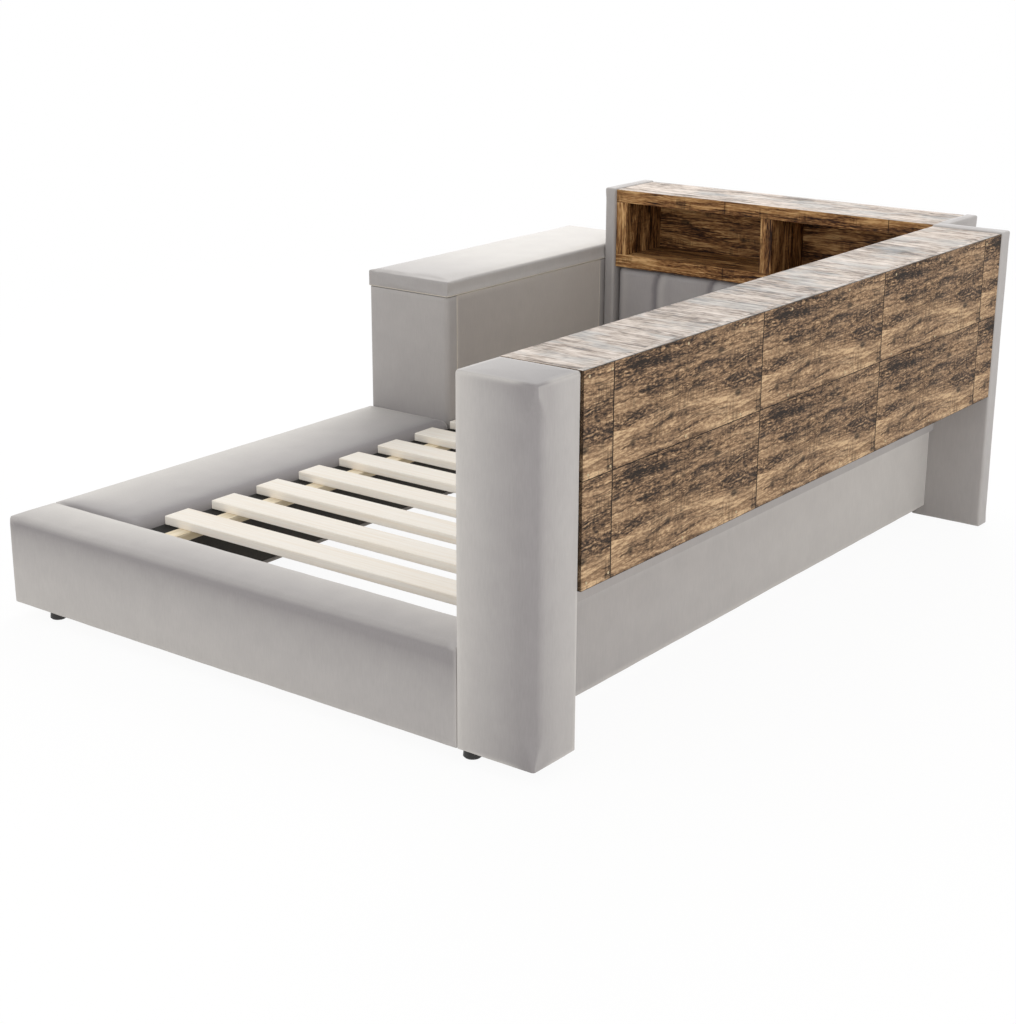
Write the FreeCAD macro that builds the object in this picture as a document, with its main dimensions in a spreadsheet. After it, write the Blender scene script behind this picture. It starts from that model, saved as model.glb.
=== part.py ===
import FreeCAD, Part
import os
import re
import Sketcher

# Upholstered storage bed. Millimetres, +Z up, +X from the low rail to the bookcase wall,
# +Y from the footboard to the headboard. The origin is on the floor under the middle of the bed.
# Below, places are counted from the outer face of the left rail, the front of the footboard
# and the floor; one shift at the end of each placement brings them to the origin.

doc = FreeCAD.newDocument("storage_bed")

# Driving sizes, each written once
DRIVING = [
    # plan of the bed
    ("bay_width", 1073),
    ("bay_length", 1935),
    ("left_rail_width", 287),
    ("footboard_depth", 142),
    ("rail_height", 220),
    ("glide_height", 34),
    ("case_height", 813),
    # upholstery
    ("foam", 10),
    ("crown", 6),
    ("front_bulge", 3),
    ("soft_edge", 28),
    ("firm_edge", 12),
    ("rail_roll", 35),
    ("slab_edge", 8),
    ("carcass_board", 15),
    ("carcass_rib_count", 4),
    # right rail and head rail
    ("low_rail_thickness", 38),
    # foot post
    ("post_width", 191),
    ("post_drop", 1),
    ("post_foam", 15),
    ("post_roll", 45),
    # bookcase boards, wall and headboard alike
    ("case_board", 38),
    ("thin_board", 16),
    ("cubby_height", 157),
    ("case_skirt", 372),
    ("board_edge", 1.2),
    ("dado_depth", 6),
    ("case_gap", 1),
    # wall along the right side
    ("wall_depth", 198),
    ("wall_length", 1907),
    ("wall_cubby_count", 4),
    ("wall_end_strip", 101),
    ("panel_joint", 0.8),
    ("cap_diameter", 6),
    ("cap_height", 0.8),
    ("cap_edge_distance", 14),
    ("cap_joint_distance", 9),
    # headboard
    ("headboard_depth", 204),
    ("headboard_cubby_count", 2),
    # padded end panels
    ("wall_end_thickness", 48),
    ("wall_end_overhang", 4),
    ("headboard_end_thickness", 34),
    ("headboard_end_forward", 12),
    ("panel_floor_gap", 4),
    ("panel_rise", 4),
    # channelled cushions
    ("channel_width", 190.7),
    ("channel_depth", 12),
    ("cushion_thickness", 30),
    ("cushion_round", 18),
    ("cushion_setback", 2),
    ("cushion_gap", 2),
    ("cushion_board", 15),
    # slats and what carries them
    ("slat_count", 12),
    ("slat_width", 78),
    ("slat_thickness", 22),
    ("slat_edge", 2.5),
    ("slat_end_gap", 3),
    ("slat_drop", 4),
    ("first_slat_gap", 89),
    ("slat_pitch", 154),
    ("ledger_flange", 49),
    ("ledger_web", 30),
    ("ledger_steel", 2.5),
    ("ledger_hole", 6),
    ("ledger_hole_pitch", 310),
    ("batten_width", 40),
    ("batten_height", 19),
    ("batten_gap", 0.5),
    ("lining_thickness", 1),
    ("lining_hem", 11),
    # floor glides
    ("glide_diameter", 40),
    ("glide_top_diameter", 34),
    ("glide_rim", 3),
    ("glide_inset", 96),
    ("glide_front_inset", 52),
    ("disc_diameter", 20),
    ("disc_inset", 40),
    # storage trunk and its lid
    ("trunk_length", 975),
    ("trunk_top", 600.5),
    ("trunk_floor_board", 12),
    ("trunk_corner", 16),
    ("side_panel_inset", 41),
    ("side_panel_piping", 0.6),
    ("lid_seam", 3),
    ("lid_thickness", 46),
    ("lid_board_thickness", 16),
    ("lid_edge", 9),
    # piano hinge
    ("hinge_length", 900),
    ("hinge_leaf_width", 25),
    ("hinge_leaf_steel", 1.4),
    ("barrel_diameter", 8),
    ("barrel_gap", 0.3),
    ("pin_diameter", 4),
    ("pin_clearance", 0.08),
    ("knuckle_pairs", 7),
    ("knuckle_gap", 0.4),
]

# Sizes and places that follow from the driving ones
FOLLOWING = [
    ("barrel_radius", "barrel_diameter / 2"),
    ("bay_right", "left_rail_width + bay_width"),
    ("rail_top", "glide_height + rail_height"),
    ("wall_front", "bay_right + case_gap"),
    ("wall_outer", "wall_front + wall_depth"),
    ("wall_case_depth", "wall_depth - thin_board"),
    ("wall_far", "footboard_depth + wall_length"),
    ("right_face", "wall_outer + wall_end_overhang"),
    ("left_face", "0 - barrel_gap - barrel_diameter"),
    ("head_front", "footboard_depth + bay_length"),
    ("back_face", "head_front + headboard_depth"),
    ("head_case_depth", "headboard_depth - thin_board"),
    ("head_left", "left_rail_width + case_gap + headboard_end_thickness"),
    ("head_right", "bay_right - case_gap * 5"),
    ("head_width", "head_right - head_left"),
    ("head_end_front", "head_front - headboard_end_forward"),
    ("shelf_top", "case_height - case_board - cubby_height"),
    ("shelf_bottom", "shelf_top - case_board"),
    ("cushion_height", "shelf_bottom - rail_top - cushion_gap * 2"),
    ("slat_top", "rail_top - slat_drop"),
    ("slat_bottom", "slat_top - slat_thickness"),
    ("post_top", "case_height - post_drop"),
    ("trunk_front", "back_face - trunk_length"),
    ("left_rail_length", "trunk_front - footboard_depth"),
    ("trunk_height", "trunk_top - glide_height"),
    ("lid_bottom", "trunk_top + lid_seam"),
    ("panel_top", "case_height + panel_rise"),
    ("hinge_axis_x", "0 - barrel_gap - barrel_radius"),
    ("hinge_axis_z", "trunk_top + lid_seam / 2"),
    ("hinge_start", "trunk_front + (trunk_length - hinge_length) / 2"),
    ("knuckle_pitch", "hinge_length / (2 * knuckle_pairs + 1)"),
    ("shift_x", "0 - (left_face + right_face) / 2"),
    ("shift_y", "0 - back_face / 2"),
]

# Where the screw caps stand along the wall and the glides along the left rail, as shares of
# their lengths, and how many flat sides a moulded cap and a moulded foot have
CAP_COLUMN_SHARES = [0.006, 0.046, 0.19, 0.305, 0.414, 0.555, 0.68, 0.808, 0.955]
LEFT_GLIDE_SHARES = [0.5]
CAP_SIDES = 12
GLIDE_SIDES = 24

sizes = doc.addObject("Spreadsheet::Sheet", "Sizes")
for row, (alias, amount) in enumerate(DRIVING, 1):
    sizes.set(f"A{row}", alias)
    sizes.set(f"B{row}", str(amount))
    sizes.setAlias(f"B{row}", alias)
places = doc.addObject("Spreadsheet::Sheet", "Places")
DRIVING_NAMES = {alias for alias, amount in DRIVING}
FOLLOWING_NAMES = {alias for alias, formula in FOLLOWING}


def linked(text):
    """Point each size's name in an expression at the sheet that holds it."""
    def point(match):
        name = match.group()
        if name in DRIVING_NAMES:
            return "Sizes." + name
        if name in FOLLOWING_NAMES:
            return "Places." + name
        return name
    return re.sub(r"[a-z][a-z_]+", point, text)


for row, (alias, formula) in enumerate(FOLLOWING, 1):
    places.set(f"A{row}", alias)
    places.set(f"B{row}", "=" + linked(formula).replace("Places.", ""))
    places.setAlias(f"B{row}", alias)
doc.recompute()


def number(text):
    """The value of an expression now."""
    return float(sizes.evalExpression(linked(text)))


nodes = []


def place(piece, x, y, z):
    """Bind a piece's place to the sheet, and bring it to the bed's origin."""
    piece.setExpression("Placement.Base.x", linked(f"{x} + shift_x"))
    piece.setExpression("Placement.Base.y", linked(f"{y} + shift_y"))
    piece.setExpression("Placement.Base.z", linked(z))


def new_body(label, x, y, z, alone=True):
    """A body at its place: a node by itself, or else one of several in a node."""
    body = doc.addObject("PartDesign::Body", label)
    body.Label = label
    place(body, x, y, z)
    if alone:
        nodes.append(body)
    return body


def together(label, members):
    """Several like pieces in one node, each a solid of its own."""
    node = doc.addObject("Part::Compound", label)
    node.Label = label
    node.Links = members
    nodes.append(node)
    return node


def origin_plane(body, role):
    return next(feature for feature in body.Origin.OriginFeatures if feature.Role == role)


def outline(body, role, corners, arcs=None, lift=None):
    """A closed sketch on one of the body's planes, its corners and arc radii bound to the sheet.

    corners are pairs of expressions; arcs maps the number of a side, counted from the corner
    that it starts at, to how far its middle stands out to the right of the way round.
    """
    arcs = arcs or {}
    sketch = body.newObject("Sketcher::SketchObject", body.Name + "_outline")
    sketch.AttachmentSupport = [(origin_plane(body, role), "")]
    sketch.MapMode = "FlatFace"
    if lift:
        sketch.setExpression("AttachmentOffset.Base.z", linked(lift))
    points = [FreeCAD.Vector(number(x), number(y), 0) for x, y in corners]
    count = len(points)
    for side in range(count):
        start = points[side]
        end = points[(side + 1) % count]
        if side in arcs:
            run = end - start
            out = FreeCAD.Vector(run.y, -run.x, 0).normalize()
            middle = (start + end) / 2 + out * number(arcs[side])
            sketch.addGeometry(Part.Arc(start, middle, end))
        else:
            sketch.addGeometry(Part.LineSegment(start, end))

    def end_at(side, point):
        near = [(sketch.getPoint(side, which) - point).Length for which in (1, 2)]
        return 1 if near[0] < near[1] else 2

    def bind(kind, values, expression):
        index = sketch.addConstraint(Sketcher.Constraint(kind, *values, number(expression)))
        sketch.setExpression(f"Constraints[{index}]", linked(expression))

    for side in range(count):
        x, y = corners[side]
        point = points[side]
        which = end_at(side, point)
        before = (side - 1) % count
        meets = end_at(before, point)
        sketch.addConstraint(Sketcher.Constraint("Coincident", side, which, before, meets))
        if x == "0":
            sketch.addConstraint(Sketcher.Constraint("PointOnObject", side, which, -2))
        else:
            bind("DistanceX", (-1, 1, side, which), x)
        if y == "0":
            sketch.addConstraint(Sketcher.Constraint("PointOnObject", side, which, -1))
        else:
            bind("DistanceY", (-1, 1, side, which), y)
    for side, rise in arcs.items():
        x, y = corners[side]
        next_x, next_y = corners[(side + 1) % count]
        chord = f"(({next_x} - ({x}))^2 + ({next_y} - ({y}))^2)"
        rise = rise.lstrip("-")
        bind("Radius", (side,), f"{chord} / (8 * ({rise})) + ({rise}) / 2")
    return sketch


def box_corners(x0, y0, x1, y1):
    return [(x0, y0), (x1, y0), (x1, y1), (x0, y1)]


def pad(body, sketch, length, turned=False):
    feature = body.newObject("PartDesign::Pad", body.Name + "_pad")
    feature.Profile = sketch
    feature.setExpression("Length", linked(length))
    feature.Reversed = turned
    return feature


def pocket(body, sketch, length, turned=False):
    """Cut against the sketch's normal, or along it if turned, and be sure that it cuts."""
    doc.recompute()
    before = body.Shape.Volume
    feature = body.newObject("PartDesign::Pocket", body.Name + "_pocket")
    feature.Profile = sketch
    feature.setExpression("Length", linked(length))
    feature.Reversed = turned
    doc.recompute()
    if body.Shape.Volume >= before:
        raise RuntimeError(body.Label + ": a pocket cuts nothing")
    return feature


def pattern(body, features, role, length, occurrences):
    feature = body.newObject("PartDesign::LinearPattern", body.Name + "_pattern")
    feature.Originals = features
    feature.Direction = (origin_plane(body, role), [""])
    feature.setExpression("Length", linked(length))
    feature.setExpression("Occurrences", linked(occurrences))
    body.Tip = feature
    return feature


def edges_at(shape, **where):
    """Names of the edges whose ends all lie at the given local places."""
    wanted = {axis: number(text) for axis, text in where.items()}
    names = []
    for index, edge in enumerate(shape.Edges, 1):
        ends = [vertex.Point for vertex in edge.Vertexes]
        if all(abs(getattr(end, axis) - at) < 0.01 for end in ends for axis, at in wanted.items()):
            names.append(f"Edge{index}")
    return names


def soften(body, radius, *wheres):
    """Round the edges at the given places."""
    doc.recompute()
    base = body.Tip
    names = []
    for where in wheres:
        names += [name for name in edges_at(base.Shape, **where) if name not in names]
    feature = body.newObject("PartDesign::Fillet", body.Name + "_round")
    feature.Base = (base, names)
    feature.setExpression("Radius", linked(radius))
    return feature


def board(label, x, y, z, width, depth, height, edges=None, alone=True):
    """A sawn board, with its long edges eased where they show."""
    body = new_body(label, x, y, z, alone)
    pad(body, outline(body, "XY_Plane", box_corners("0", "0", width, depth)), height)
    if edges:
        soften(body, "board_edge", *edges)
    return body


def group(label, boards):
    """Several plain boards in one node: each is a name, a place and a size."""
    members = []
    for name, x, y, z, width, depth, height in boards:
        piece = doc.addObject("Part::Box", f"{label}_{name}")
        piece.setExpression("Length", linked(width))
        piece.setExpression("Width", linked(depth))
        piece.setExpression("Height", linked(height))
        place(piece, x, y, z)
        members.append(piece)
    return together(label, members)


def carcass(label, x, y, z, width, depth, height, along):
    """A closed board box: deck, sole, two sides, two ends and ribs across its length."""
    x_in = f"{x} + carcass_board"
    y_in = f"{y} + carcass_board"
    side_height = f"({height}) - 2 * carcass_board"
    boards = [("deck", x, y, f"{z} + ({height}) - carcass_board", width, depth, "carcass_board")]
    boards.append(("sole", x, y, z, width, depth, "carcass_board"))
    z = f"{z} + carcass_board"
    if along == "x":
        inner = f"({depth}) - 2 * carcass_board"
        span = f"(({width}) - carcass_board)"
        far = f"{y} + ({depth}) - carcass_board"
        boards.append(("side_a", x, y, z, width, "carcass_board", side_height))
        boards.append(("side_b", x, far, z, width, "carcass_board", side_height))
    else:
        inner = f"({width}) - 2 * carcass_board"
        span = f"(({depth}) - carcass_board)"
        far = f"{x} + ({width}) - carcass_board"
        boards.append(("side_a", x, y, z, "carcass_board", depth, side_height))
        boards.append(("side_b", far, y, z, "carcass_board", depth, side_height))
    ribs = int(number("carcass_rib_count"))
    for index in range(ribs):
        step = f"{span} * {index} / (carcass_rib_count - 1)"
        if along == "x":
            rib = (f"{x} + {step}", y_in, z, "carcass_board", inner, side_height)
        else:
            rib = (x_in, f"{y} + {step}", z, inner, "carcass_board", side_height)
        boards.append((f"rib_{index + 1}",) + rib)
    return group(label, boards)


# Footboard: a board box under a padded cover, crowned on top and full in front
board_length = "bay_right"
cover = new_body("footboard_cover", "0", "0", "glide_height")
profile = outline(
    cover,
    "YZ_Plane",
    [
        ("front_bulge", "0"),
        ("footboard_depth", "0"),
        ("footboard_depth", "rail_height - crown"),
        ("front_bulge", "rail_height - crown"),
    ],
    {2: "crown", 3: "front_bulge"},
)
pad(cover, profile, board_length)
soften(cover, "soft_edge", {"y": "front_bulge", "z": "rail_height - crown"})
soften(cover, "firm_edge", {"y": "footboard_depth", "z": "rail_height - crown"})
cavity = outline(
    cover,
    "XY_Plane",
    box_corners("foam", "foam", "bay_right - foam", "footboard_depth - foam"),
)
pocket(cover, cavity, "rail_height - foam * 2", True)
carcass(
    "footboard_core",
    "foam",
    "foam",
    "glide_height",
    "bay_right - 2 * foam",
    "footboard_depth - 2 * foam",
    "rail_height - 2 * foam",
    "x",
)

# Left rail: a wide low deck that the sleeper steps over, rounder on its bed side
cover = new_body("left_rail_cover", "0", "footboard_depth", "glide_height")
profile = outline(
    cover,
    "XZ_Plane",
    [
        ("0", "0"),
        ("left_rail_width", "0"),
        ("left_rail_width", "rail_height - crown"),
        ("0", "rail_height - crown"),
    ],
    {2: "crown"},
)
pad(cover, profile, "left_rail_length", True)
soften(cover, "rail_roll", {"x": "left_rail_width", "z": "rail_height - crown"})
soften(cover, "firm_edge", {"x": "0", "z": "rail_height - crown"})
cavity = outline(
    cover,
    "XY_Plane",
    box_corners("foam", "foam", "left_rail_width - foam", "left_rail_length - foam"),
)
pocket(cover, cavity, "rail_height - foam * 2", True)
carcass(
    "left_rail_core",
    "foam",
    "footboard_depth + foam",
    "glide_height",
    "left_rail_width - 2 * foam",
    "left_rail_length - 2 * foam",
    "rail_height - 2 * foam",
    "y",
)
board(
    "left_rail_lining",
    "left_rail_width",
    "footboard_depth",
    "glide_height + lining_hem",
    "lining_thickness",
    "head_end_front - footboard_depth",
    "slat_bottom - glide_height - lining_hem",
)


def padded_slab(label, x, y, z, width, depth, height, core_label, core_alone=False):
    """A board wrapped in foam and fabric on every side but its foot; returns the board."""
    body = new_body(label, x, y, z)
    pad(body, outline(body, "XY_Plane", box_corners("0", "0", width, depth)), height)
    soften(
        body,
        "slab_edge",
        {"x": "0", "y": "0"},
        {"x": width, "y": "0"},
        {"x": width, "y": depth},
        {"x": "0", "y": depth},
        {"z": height},
    )
    inner = box_corners("foam", "foam", f"{width} - foam", f"{depth} - foam")
    pocket(body, outline(body, "XY_Plane", inner), f"{height} - foam", True)
    core = (f"{width} - 2 * foam", f"{depth} - 2 * foam", f"{height} - foam")
    return board(core_label, f"{x} + foam", f"{y} + foam", z, *core, alone=core_alone)


# Right rail, head rail and the three end panels are the same kind of slab
padded_slab(
    "right_rail_cover",
    "bay_right",
    "footboard_depth",
    "glide_height",
    "low_rail_thickness",
    "wall_length",
    "rail_height",
    "right_rail_core",
    core_alone=True,
)
board(
    "head_rail",
    "head_left",
    "head_front",
    "glide_height",
    "head_width",
    "low_rail_thickness",
    "rail_height",
)
wall_end_core = padded_slab(
    "wall_end_cover",
    "wall_front",
    "wall_far",
    "panel_floor_gap",
    "wall_depth + wall_end_overhang",
    "wall_end_thickness",
    "panel_top - panel_floor_gap",
    "wall_end_core",
)
left_end_core = padded_slab(
    "headboard_left_end_cover",
    "left_rail_width + case_gap",
    "head_end_front",
    "panel_floor_gap",
    "headboard_end_thickness",
    "headboard_depth + headboard_end_forward",
    "panel_top - panel_floor_gap",
    "headboard_left_end_core",
)
right_end_core = padded_slab(
    "headboard_right_end_cover",
    "head_right",
    "wall_far + wall_end_thickness",
    "panel_floor_gap",
    "headboard_end_thickness",
    "back_face - wall_far - wall_end_thickness",
    "panel_top - panel_floor_gap",
    "headboard_right_end_core",
)
together("end_panel_cores", [wall_end_core, left_end_core, right_end_core])

# Foot post: a tall board box, full in front and on its outer side, with thicker foam on these
# two sides so that their corner can roll
cover = new_body("post_cover", "bay_right", "0", "glide_height")
plan = outline(
    cover,
    "XY_Plane",
    [
        ("0", "front_bulge"),
        ("post_width - front_bulge", "front_bulge"),
        ("post_width - front_bulge", "footboard_depth"),
        ("0", "footboard_depth"),
    ],
    {0: "front_bulge", 1: "front_bulge"},
)
pad(cover, plan, "post_top - glide_height")
soften(cover, "post_roll", {"x": "post_width - front_bulge", "y": "front_bulge"})
soften(cover, "slab_edge", {"z": "post_top - glide_height"})
post_across = "post_width - foam - post_foam - front_bulge"
post_through = "footboard_depth - foam - post_foam - front_bulge"
cavity = outline(
    cover,
    "XY_Plane",
    box_corners(
        "foam",
        "post_foam + front_bulge",
        f"foam + {post_across}",
        f"post_foam + front_bulge + {post_through}",
    ),
)
pocket(cover, cavity, "post_top - glide_height - foam", True)
post_x = "bay_right + foam"
post_y = "post_foam + front_bulge"
post_tall = "post_top - glide_height - foam - carcass_board"
group(
    "post_core",
    [
        ("front", post_x, post_y, "glide_height", post_across, "carcass_board", post_tall),
        (
            "back",
            post_x,
            f"{post_y} + {post_through} - carcass_board",
            "glide_height",
            post_across,
            "carcass_board",
            post_tall,
        ),
        (
            "left",
            post_x,
            f"{post_y} + carcass_board",
            "glide_height",
            "carcass_board",
            f"{post_through} - 2 * carcass_board",
            post_tall,
        ),
        (
            "right",
            f"{post_x} + {post_across} - carcass_board",
            f"{post_y} + carcass_board",
            "glide_height",
            "carcass_board",
            f"{post_through} - 2 * carcass_board",
            post_tall,
        ),
        (
            "cap",
            post_x,
            post_y,
            f"glide_height + {post_tall}",
            post_across,
            post_through,
            "carcass_board",
        ),
        (
            "sole",
            f"{post_x} + carcass_board",
            f"{post_y} + carcass_board",
            "glide_height",
            f"{post_across} - 2 * carcass_board",
            f"{post_through} - 2 * carcass_board",
            "carcass_board",
        ),
    ],
)


def cubby_board(label, x, y, z, width, depth, along, cubbies, dado_up):
    """A top or shelf board with a dado for each divider between two cubbies."""
    body = new_body(label, x, y, z)
    pad(body, outline(body, "XY_Plane", box_corners("0", "0", width, depth)), "case_board")
    if along == "y":
        front = [{"x": "0", "z": "case_board"}, {"x": "0", "z": "0"}]
    else:
        front = [{"y": "0", "z": "case_board"}, {"y": "0", "z": "0"}]
    soften(body, "board_edge", *front)
    length = depth if along == "y" else width
    pitch = f"(({length}) - case_board) / {cubbies}"
    if along == "y":
        groove = box_corners("board_edge", pitch, width, f"{pitch} + case_board")
    else:
        groove = box_corners(pitch, "board_edge", f"{pitch} + case_board", depth)
    if dado_up:
        cut = pocket(body, outline(body, "XY_Plane", groove), "dado_depth", True)
    else:
        cut = pocket(body, outline(body, "XY_Plane", groove, None, "case_board"), "dado_depth")
    if number(cubbies) > 2:
        axis = "Y_Axis" if along == "y" else "X_Axis"
        pattern(body, [cut], axis, f"({pitch}) * ({cubbies} - 2)", f"{cubbies} - 1")
    return body


# Wall case: top and shelf boards with cubbies between them, open to the bed
for label, level, dado_up in (("wall_top_board", "case_height - case_board", True),
                              ("wall_shelf_board", "shelf_bottom", False)):
    cubby_board(
        label,
        "wall_front",
        "footboard_depth",
        level,
        "wall_case_depth",
        "wall_length",
        "y",
        "wall_cubby_count",
        dado_up,
    )
wall_pitch = "(wall_length - case_board) / wall_cubby_count"
ends = []
for end, step in (("foot", "0"), ("head", "wall_cubby_count")):
    ends.append(
        board(
            f"wall_{end}_board",
            "wall_front",
            f"footboard_depth + {wall_pitch} * {step}",
            "shelf_top",
            "wall_case_depth",
            "case_board",
            "cubby_height",
            [{"x": "0", "y": "0"}, {"x": "0", "y": "case_board"}],
            alone=False,
        )
    )
together("wall_case_ends", ends)
dividers = []
for index in range(1, int(number("wall_cubby_count"))):
    dividers.append(
        board(
            f"wall_divider_{index}",
            "wall_front + board_edge",
            f"footboard_depth + {wall_pitch} * {index}",
            "shelf_top - dado_depth",
            "wall_case_depth - board_edge",
            "case_board",
            "cubby_height + 2 * dado_depth",
            alone=False,
        )
    )
together("wall_dividers", dividers)
board(
    "wall_bottom_board",
    "wall_front + cushion_setback + cushion_thickness + cushion_board",
    "footboard_depth",
    "case_skirt",
    "wall_case_depth - cushion_setback - cushion_thickness - cushion_board",
    "wall_length",
    "thin_board",
)

# Outer back panels: three equal panels between two narrow end strips, in two rows, on ribs
panel_step = "(wall_length - 2 * wall_end_strip) / 3"
column_starts = ["0"] + [f"wall_end_strip + {panel_step} * {index}" for index in range(4)]
column_ends = column_starts[1:] + ["wall_length"]
panel_rows = (
    ("upper", "shelf_bottom + thin_board - panel_joint", "case_height"),
    ("lower", "case_skirt", "shelf_bottom + thin_board - 2 * panel_joint"),
)
for row, bottom, top in panel_rows:
    members = []
    for index, (start, end) in enumerate(zip(column_starts, column_ends), 1):
        width = f"{end} - ({start}) - panel_joint"
        members.append(
            (
                f"panel_{index}",
                "wall_outer - thin_board",
                f"footboard_depth + {start} + panel_joint / 2",
                bottom,
                "thin_board",
                width,
                f"{top} - ({bottom})",
            )
        )
    group(f"wall_back_panels_{row}", members)
rib_x = "wall_front + cushion_setback + cushion_thickness + cushion_board"
rib_depth = "wall_case_depth - cushion_setback - cushion_thickness - cushion_board"
rib_height = "shelf_bottom - case_skirt - thin_board"
ribs = []
for index, start in enumerate(column_starts):
    at = "footboard_depth" if index == 0 else f"footboard_depth + {start} - thin_board / 2"
    rib_place = (rib_x, at, "case_skirt + thin_board")
    ribs.append((f"rib_{index + 1}",) + rib_place + (rib_depth, "thin_board", rib_height))
last_place = (rib_x, "wall_far - thin_board", "case_skirt + thin_board")
ribs.append(("rib_last",) + last_place + (rib_depth, "thin_board", rib_height))
group("wall_ribs", ribs)

# Screw caps on the outer panels, in three rows
caps = []
cap_rows = (
    "case_height - cap_edge_distance",
    "shelf_bottom + thin_board + cap_joint_distance",
    "case_skirt + cap_edge_distance",
)
for level in cap_rows:
    for share in CAP_COLUMN_SHARES:
        cap = doc.addObject("Part::Prism", "cap")
        cap.Polygon = CAP_SIDES
        cap.setExpression("Circumradius", linked("cap_diameter / 2"))
        cap.setExpression("Height", linked("cap_height"))
        across = f"footboard_depth + cap_diameter + (wall_length - 2 * cap_diameter) * {share}"
        place(cap, "wall_outer", across, level)
        cap.Placement.Rotation = FreeCAD.Rotation(FreeCAD.Vector(0, 1, 0), 90)
        caps.append(cap)
together("wall_screw_caps", caps)


def channelled_cushion(label, x, y, z, length, turned):
    """A stuffed panel with upright channels: scallops in plan, rolled over at top and bottom.

    The run is along X. The headboard's faces the bed along -Y, and the wall's is turned to -X.
    """
    body = new_body(label, x, y, z)
    total = number(length)
    count = int((total + number("channel_width") * 0.5) // number("channel_width"))
    if count % 2 == 0 and total - count * number("channel_width") > number("channel_width") / 2:
        count += 1
    end_width = f"(({length}) - channel_width * {count - 2}) / 2"
    stations = ["0"] + [f"{end_width} + channel_width * {index}" for index in range(count - 1)]
    stations.append(length)
    corners = [(at, "channel_depth") for at in stations]
    corners += [(length, "cushion_thickness"), ("0", "cushion_thickness")]
    arcs = {side: "channel_depth" for side in range(count)}
    pad(body, outline(body, "XY_Plane", corners, arcs), "cushion_height")
    # A quarter round's middle stands off its chord by this share of the radius
    roll = "cushion_round"
    corner_share = "0.29289"
    top = [("0", f"cushion_height - {roll}"), (roll, "cushion_height"), ("0", "cushion_height")]
    pocket(
        body,
        outline(body, "YZ_Plane", top, {0: f"-{roll} * {corner_share}"}),
        length,
        True,
    )
    low = [("0", roll), ("0", "0"), (roll, "0")]
    pocket(
        body,
        outline(body, "YZ_Plane", low, {2: f"-{roll} * {corner_share}"}),
        length,
        True,
    )
    if turned:
        body.Placement.Rotation = FreeCAD.Rotation(FreeCAD.Vector(0, 0, 1), -90)
    return body


# The wall's cushion faces the bed, over the right rail, on a board of its own
channelled_cushion(
    "wall_cushion",
    "wall_front + cushion_setback",
    "wall_far - cushion_gap",
    "rail_top + cushion_gap",
    "wall_length - 2 * cushion_gap",
    True,
)
board(
    "wall_cushion_board",
    "wall_front + cushion_setback + cushion_thickness",
    "footboard_depth",
    "rail_top",
    "cushion_board",
    "wall_length",
    "shelf_bottom - rail_top",
)

# Headboard case: top, shelf, divider and sides, with its back panel and its cushion
for label, level, dado_up in (("headboard_top_board", "case_height - case_board", True),
                              ("headboard_shelf_board", "shelf_bottom", False)):
    cubby_board(
        label,
        "head_left",
        "head_front",
        level,
        "head_width",
        "head_case_depth",
        "x",
        "headboard_cubby_count",
        dado_up,
    )
head_pitch = "(head_width - case_board) / headboard_cubby_count"
ends = []
for side, step in (("left", "0"), ("right", "headboard_cubby_count")):
    ends.append(
        board(
            f"headboard_{side}_board",
            f"head_left + {head_pitch} * {step}",
            "head_front",
            "shelf_top",
            "case_board",
            "head_case_depth",
            "cubby_height",
            [{"x": "0", "y": "0"}, {"x": "case_board", "y": "0"}],
            alone=False,
        )
    )
together("headboard_case_ends", ends)
dividers = []
for index in range(1, int(number("headboard_cubby_count"))):
    dividers.append(
        board(
            f"headboard_divider_{index}",
            f"head_left + {head_pitch} * {index}",
            "head_front + board_edge",
            "shelf_top - dado_depth",
            "case_board",
            "head_case_depth - board_edge",
            "cubby_height + 2 * dado_depth",
            alone=False,
        )
    )
together("headboard_dividers", dividers)
board(
    "headboard_back_panel",
    "head_left",
    "back_face - thin_board",
    "case_skirt",
    "head_width",
    "thin_board",
    "case_height - case_skirt",
)
head_inner = "head_front + cushion_setback + cushion_thickness"
board(
    "headboard_bottom_board",
    "head_left",
    f"{head_inner} + cushion_board",
    "case_skirt",
    "head_width",
    "head_case_depth - cushion_setback - cushion_thickness - cushion_board",
    "thin_board",
)
board(
    "headboard_cushion_board",
    "head_left",
    head_inner,
    "rail_top",
    "head_width",
    "cushion_board",
    "shelf_bottom - rail_top",
)
channelled_cushion(
    "headboard_cushion",
    "head_left + cushion_gap",
    "head_front + cushion_setback",
    "rail_top + cushion_gap",
    "head_width - 2 * cushion_gap",
    False,
)

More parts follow.
